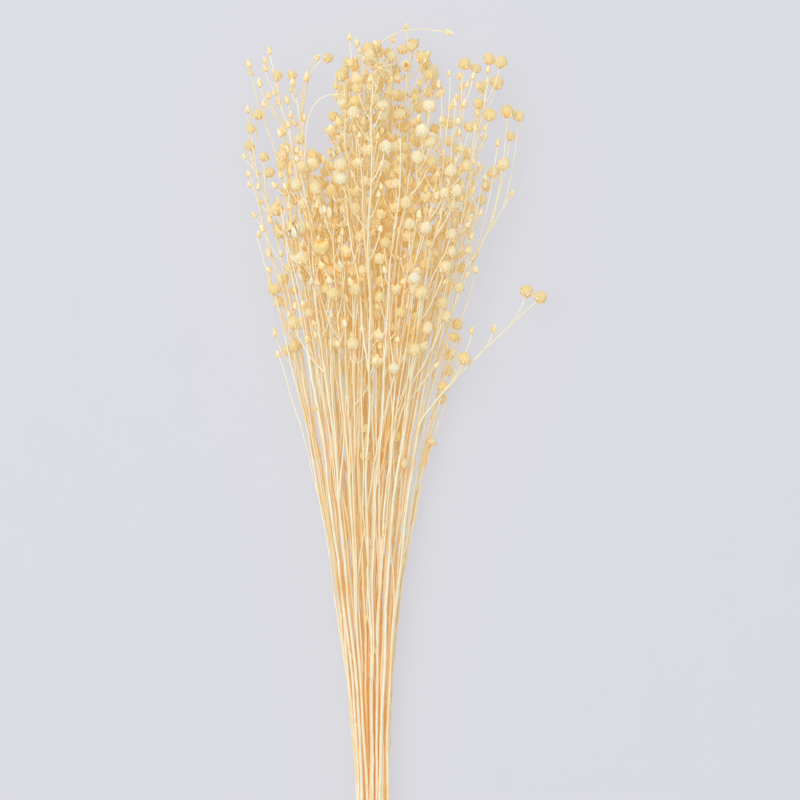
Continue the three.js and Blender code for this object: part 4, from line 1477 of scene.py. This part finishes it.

# %% [markdown]
# ** Lining, pith, leaf and petal.** Inside, the chambers are lined with a smooth pale skin, a little silkier
# than the wall. A cut stem shows spongy pith. Sepals and leaf scraps are thin and dull, and the small
# flower kept its rusty orange. They need only two colours mixed by a fine grain. The lining and the leaf
# get a third, deeper colour where other pieces stand close, which is painted shade.

# %% Finishes with a fine grain
def grained(name, light, dark, painted_shade_colour, grain_size, roughness, glow=0.0, **constants):
    """A material of two colours mixed by a fine grain, which also gives its relief, with optional painted
    shade.
    """
    material, tree, shader = new_material(name, glow, Roughness=roughness, **constants)
    grain = add(tree, "ShaderNodeTexNoise", {**sized(tree, grain_size), "Detail": 3.0})
    share = add(tree, "ShaderNodeMapRange", {"Value": grain, "From Min": 0.35, "From Max": 0.65})
    shade = [(painted_shade_share(tree), painted_shade_colour)] if painted_shade_colour else []
    feed(shader, {
        "Base Color": layered(tree, light, (share, dark), *shade),
        "Normal": add(tree, "ShaderNodeBump", {"Height": grain, "Strength": 0.4, "Distance": 0.1 * MM}),
    })
    return material


# The third colour, where there is one, is painted shade for places where other pieces stand close.
FINISHES = {
    "Stalk": straw,
    "Paper": paper,
    "Lining": grained("capsule_lining", "#E8E6D8", "#E2CC98", "#F8D498", 1.2, 0.45, LINING_GLOW),
    "Pith": grained("cut_pith", "#F2E8CC", "#CDAA74", None, 0.5, 0.9, STRAW_GLOW),
    "Leaf": grained("dry_leaf", "#E2E0D2", "#DEC88E", "#F4CC84", 3.0, 0.7, PAPER_GLOW),
    "Petal": grained("rusty_petal", "#F29A48", "#D8742C", None, 1.0, 0.6, PAPER_GLOW),
}

# %% [markdown]
# ## Flesh on the skeleton
# One node tree dresses every stem. It sweeps a small circle along each line, scaled by the thickness stored
# there, and places a boll, bud, flower or leaf scrap on each single point. Then it makes everything real,
# because the export drops instances, and gives each face its material by the finish stored on it.

# %% The node tree's inputs and stored values
CARRIED = {
    "thickness": "FLOAT",
    "reach": "FLOAT",
    "is_piece": "BOOLEAN",
    "kind": "INT",
    "aim": "FLOAT_VECTOR",
    "size": "FLOAT_VECTOR",
    "spin": "FLOAT",
    "finish": "INT",
}
INPUTS = {"Skeleton": "Geometry", "Stalk sides": "Int", "Kinds": "Collection"}
INPUTS |= dict.fromkeys(FINISHES, "Material")

flesh = bpy.data.node_groups.new("flax_flesh", "GeometryNodeTree")
for name, kind in INPUTS.items():
    flesh.interface.new_socket(name=name, in_out="INPUT", socket_type="NodeSocket" + kind)
flesh.interface.new_socket(name="Stem", in_out="OUTPUT", socket_type="NodeSocketGeometry")
given = add(flesh, "NodeGroupInput").outputs
carried = {
    name: add(flesh, "GeometryNodeInputNamedAttribute", {"Name": name}, data_type=kind)
    for name, kind in CARRIED.items()
}

# %% Stalks
circle = add(flesh, "GeometryNodeCurvePrimitiveCircle", {"Resolution": given["Stalk sides"], "Radius": 1.0})
capture = add(flesh, "GeometryNodeCaptureAttribute", {"Geometry": circle})
capture.capture_items.new("VECTOR", "Round")
feed(capture, {"Round": add(flesh, "GeometryNodeInputPosition")})
lines = add(flesh, "GeometryNodeMeshToCurve", {"Mesh": given["Skeleton"]})
swept = add(flesh, "GeometryNodeCurveToMesh", {
    "Curve": lines, "Profile Curve": capture, "Scale": carried["thickness"], "Fill Caps": True,
})
along = add(flesh, "ShaderNodeCombineXYZ", {"Z": carried["reach"]})
where = add(flesh, "ShaderNodeVectorMath", {0: capture.outputs["Round"], 1: along}, operation="ADD")
skinned = add(flesh, "GeometryNodeStoreNamedAttribute", {"Geometry": swept, "Name": "skin", "Value": where},
              data_type="FLOAT_VECTOR", domain="POINT")
corners = add(flesh, "GeometryNodeInputMeshFaceNeighbors")
is_cut = add(flesh, "FunctionNodeCompare", {"A_INT": corners, "B_INT": 4}, data_type="INT",
             operation="GREATER_THAN")
cut = add(flesh, "GeometryNodeStoreNamedAttribute", {
    "Geometry": skinned, "Selection": is_cut, "Name": "finish", "Value": PITH,
}, data_type="INT", domain="FACE")
flat_cuts = add(flesh, "GeometryNodeSetShadeSmooth", {
    "Geometry": cut, "Selection": is_cut, "Shade Smooth": False,
})

# %% [markdown]
# A boll that dries is never quite round, and no two are alike. So once the bolls are placed and real, a
# soft noise pushes their points about.

# %% Bolls, buds, flowers and leaf scraps
DENT_SIZE = 4.5  # mm
DENT = 1.9  # mm

one_of = add(flesh, "GeometryNodeCollectionInfo", {
    "Collection": given["Kinds"], "Separate Children": True, "Reset Children": True,
})
aimed = add(flesh, "FunctionNodeAlignRotationToVector", {"Vector": carried["aim"]}, axis="Z")
own_turn = add(flesh, "FunctionNodeAxisAngleToRotation", {"Axis": (0, 0, 1), "Angle": carried["spin"]})
rotation = add(flesh, "FunctionNodeRotateRotation", {"Rotation": aimed, "Rotate By": own_turn},
               rotation_space="LOCAL")
pieces_on = add(flesh, "GeometryNodeInstanceOnPoints", {
    "Points": given["Skeleton"], "Selection": carried["is_piece"], "Instance": one_of, "Pick Instance": True,
    "Instance Index": carried["kind"], "Rotation": rotation, "Scale": carried["size"],
})
pieces_on = add(flesh, "GeometryNodeRealizeInstances", {"Geometry": pieces_on})
dents = add(flesh, "ShaderNodeTexNoise", {"Scale": 1 / (DENT_SIZE * MM), "Detail": 1.0}).outputs["Color"]
both_ways = add(flesh, "ShaderNodeVectorMath", {0: dents, 1: (0.5, 0.5, 0.5)}, operation="SUBTRACT")
push = add(flesh, "ShaderNodeVectorMath", {0: both_ways, "Scale": DENT * MM}, operation="SCALE")
dented = add(flesh, "GeometryNodeSetPosition", {"Geometry": pieces_on, "Offset": push})

# %% Make it real and give each face its material
joined = add(flesh, "GeometryNodeJoinGeometry")
feed(joined, {0: flat_cuts})
feed(joined, {0: dented})
stem_so_far = add(flesh, "GeometryNodeRealizeInstances", {"Geometry": joined})
for number, name in enumerate(FINISHES):
    pair = {"A_INT": carried["finish"], "B_INT": number}
    is_this = add(flesh, "FunctionNodeCompare", pair, data_type="INT", operation="EQUAL")
    stem_so_far = add(flesh, "GeometryNodeSetMaterial", {
        "Geometry": stem_so_far, "Selection": is_this, "Material": given[name],
    })
add(flesh, "NodeGroupOutput", {"Stem": stem_so_far})
print("the tree has", len(flesh.nodes), "nodes")

# %% [markdown]
# ## The fifty stems
# Each stem replaces its own solid. The modifier's result is copied to a plain mesh, and the values that
# only the tree needed are dropped.

# %% Dress each stem
STALK_SIDES = 7


def dressed(name, bare):
    """An object with the node tree's result for a bare skeleton, as a plain mesh."""
    piece = shown(name, bare)
    modifier = piece.modifiers.new("flesh", "NODES")
    modifier.node_group = flesh
    values = {"Stalk sides": STALK_SIDES, "Kinds": kinds, **FINISHES}
    for socket in flesh.interface.items_tree:
        if socket.in_out == "INPUT" and socket.name in values:
            modifier[socket.identifier] = values[socket.name]
    seen = bpy.context.evaluated_depsgraph_get()
    made = piece.evaluated_get(seen)
    mesh = bpy.data.meshes.new_from_object(made, preserve_all_data_layers=True, depsgraph=seen)
    piece.modifiers.remove(modifier)
    piece.data = mesh
    bpy.data.meshes.remove(bare)
    for spare in [attribute.name for attribute in mesh.attributes if attribute.name in CARRIED]:
        mesh.attributes.remove(mesh.attributes[spare])
    return piece


triangles = 0
for i, stem in enumerate(stems):
    tone = tone_and_core_shade_at(stem_point(stem, stem.top / 2))
    strands = [fibre_strand(stem, tone) for _ in range(FIBRES_A_STEM)]
    pieces = [leaf_piece(stem) for _ in range(LEAVES_A_STEM)]
    for stalk in (stem, *stem.sides):
        strands.append(stalk_strand(stalk, SKIN_TONE * tone_and_core_shade_at(stalk.line[len(stalk.line) // 2])))
        for branch in stalk.branches:
            strands.append(branch_strand(stalk, branch, SKIN_TONE * tone_and_core_shade_at(branch.boll.centre)))
        bolls = [part.boll for part in (stalk, *stalk.branches)]
        pieces += [boll_piece(boll, in_free_spray(i)) for boll in bolls]
        pieces += caught_pieces(bolls)
    piece = dressed(f"dried_flax_{i + 1:02d}", skeleton("skeleton", strands, pieces))
    triangles += sum(len(face.vertices) - 2 for face in piece.data.polygons)
    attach(piece, "root")
    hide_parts(node_name(i))
for kind in list(kinds.objects):
    bpy.data.objects.remove(kind)
bpy.data.collections.remove(kinds)
print("triangles in the stems:", triangles)

# %% [markdown]
# ## The elastic band
# A flat latex band is wound three times round the stems. It is one closed loop, so after the third turn it
# crosses back over the others to its start. The loop is worked out ring by ring, each ring a rounded flat
# section, because a swept curve would let the flat side twist.

# %% Wind the band
BAND_TURNS = 3
TURN_WIDTH = 3.2
BAND_WIDTH = 3.0
BAND_THICKNESS = 1.5
CROSSING_SHARE = 0.12  # of the loop, where it crosses back
CROSSING_RISE = 1.3
CROSSING_FLATNESS = 0.7
RINGS_A_TURN = 56
SECTION_CORNERS = 12
SECTION_SQUARENESS = 0.55


def smooth_step(share):
    return share * share * (3 - 2 * share)


def squared_off(side):
    """Moves a point of a circle out towards the corner of a rounded square."""
    return math.copysign(abs(side) ** SECTION_SQUARENESS, side)


def band_ring(share):
    """The section's corners at a share of the loop: across along Y, out from the bundle's axis."""
    winding = min(share / (1 - CROSSING_SHARE), 1)
    back = max(share - 1 + CROSSING_SHARE, 0) / CROSSING_SHARE
    across = lerp(-TURN_WIDTH, TURN_WIDTH, winding - smooth_step(back))
    rise = CROSSING_RISE * math.sin(math.pi * back) ** CROSSING_FLATNESS
    middle = BAND_AXIS_Z - BAND_THICKNESS / 2 + rise
    turn = math.pi * (0.5 + CROSSING_SHARE * BAND_TURNS) + 2 * math.pi * BAND_TURNS * share
    ring = []
    for corner in np.arange(SECTION_CORNERS) * 2 * math.pi / SECTION_CORNERS:
        wide, thick = (squared_off(f(corner)) for f in (math.cos, math.sin))
        out = middle + thick * BAND_THICKNESS / 2
        y = across + wide * BAND_WIDTH / 2
        ring.append((out * math.cos(turn), y, BAND_AXIS_Z + out * math.sin(turn)))
    return ring


ring_count = BAND_TURNS * RINGS_A_TURN
rings = np.array([band_ring(i / ring_count) for i in range(ring_count)])
faces = []
for i in range(ring_count):
    for k in range(SECTION_CORNERS):
        here = [i * SECTION_CORNERS + k, i * SECTION_CORNERS + (k + 1) % SECTION_CORNERS]
        after = [(corner + SECTION_CORNERS) % (ring_count * SECTION_CORNERS) for corner in here]
        faces.append((here[0], here[1], after[1], after[0]))
band_mesh = bpy.data.meshes.new("latex_band")
band_mesh.from_pydata(in_frame(rings.reshape(-1, 3)), [], faces, shade_flat=False)
face_outwards(band_mesh)
band_mesh.materials.append(grained("tan_latex", "#CDAD7E", "#BE9A68", None, 4.0, 0.55, Sheen_Weight=0.15))
latex_band = shown("latex_band", band_mesh)
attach(latex_band, "root")
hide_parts("elastic_band")
print("band faces:", len(faces))

# %% [markdown]
# ## Table and light
# The photograph has an even pale grey around the bunch, with hardly a shadow, as over a sheet that is lit
# from below. The table is such a sheet: a matt grey board with a constant glow that hides most of the
# shadow. A large lamp at the upper left and the pale room around give the soft light.

# %% Table
TABLE_SIZE = 6
TABLE_DROP = 0.3 * MM
BOARD_GLOW = 0.71

board = grained("pale_board", "#757375", "#747274", None, 30.0, 0.9, BOARD_GLOW)
feed(board.node_tree.nodes["Principled BSDF"], {"Emission Color": "#DEDEE5"})
bpy.ops.mesh.primitive_plane_add(size=TABLE_SIZE, location=(0, 0, -TABLE_DROP))
table = bpy.context.object
table.name = "table"
table.data.materials.append(board)
table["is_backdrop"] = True

# %% Lamps
ROOM_LIGHT = 0.7
KEY_POWER = 20
KEY_SIZE = 1.4
KEY_PLACE = (-0.45, 0.5, 1.8)
DAYLIGHT = "#F4FBFF"

room = bpy.data.worlds.new("room")
room.use_nodes = True
feed(room.node_tree.nodes["Background"], {"Color": DAYLIGHT, "Strength": ROOM_LIGHT})
bpy.context.scene.world = room
bpy.context.scene.view_settings.view_transform = "Standard"

key = shown("key_lamp", bpy.data.lights.new("key_lamp", "AREA"))
key.data.energy = KEY_POWER
key.data.size = KEY_SIZE
key.data.color = linear(DAYLIGHT)[:3]
key.location = KEY_PLACE
key.rotation_euler = (-key.location).to_track_quat("-Z", "Y").to_euler()

# %% [markdown]
# ## Size
# The finished bunch's box is compared with the box of the solids, and how far it reaches past each side is
# printed beside three hundredths of that side. The finished bunch has to stay within the box of the
# solids, apart from three hundredths of each side.

# %% Compare the boxes and finish
ALLOWED_PAST = 0.03  # of each side

seen_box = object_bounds()
spare = np.array(CAD_BOX[1] - CAD_BOX[0]) * ALLOWED_PAST
past = np.maximum(np.array(CAD_BOX[0]) - seen_box[0], np.array(seen_box[1]) - CAD_BOX[1])
print("past the solids' box, in mm:", (past / MM).round(2), "allowed:", (spare / MM).round(2))
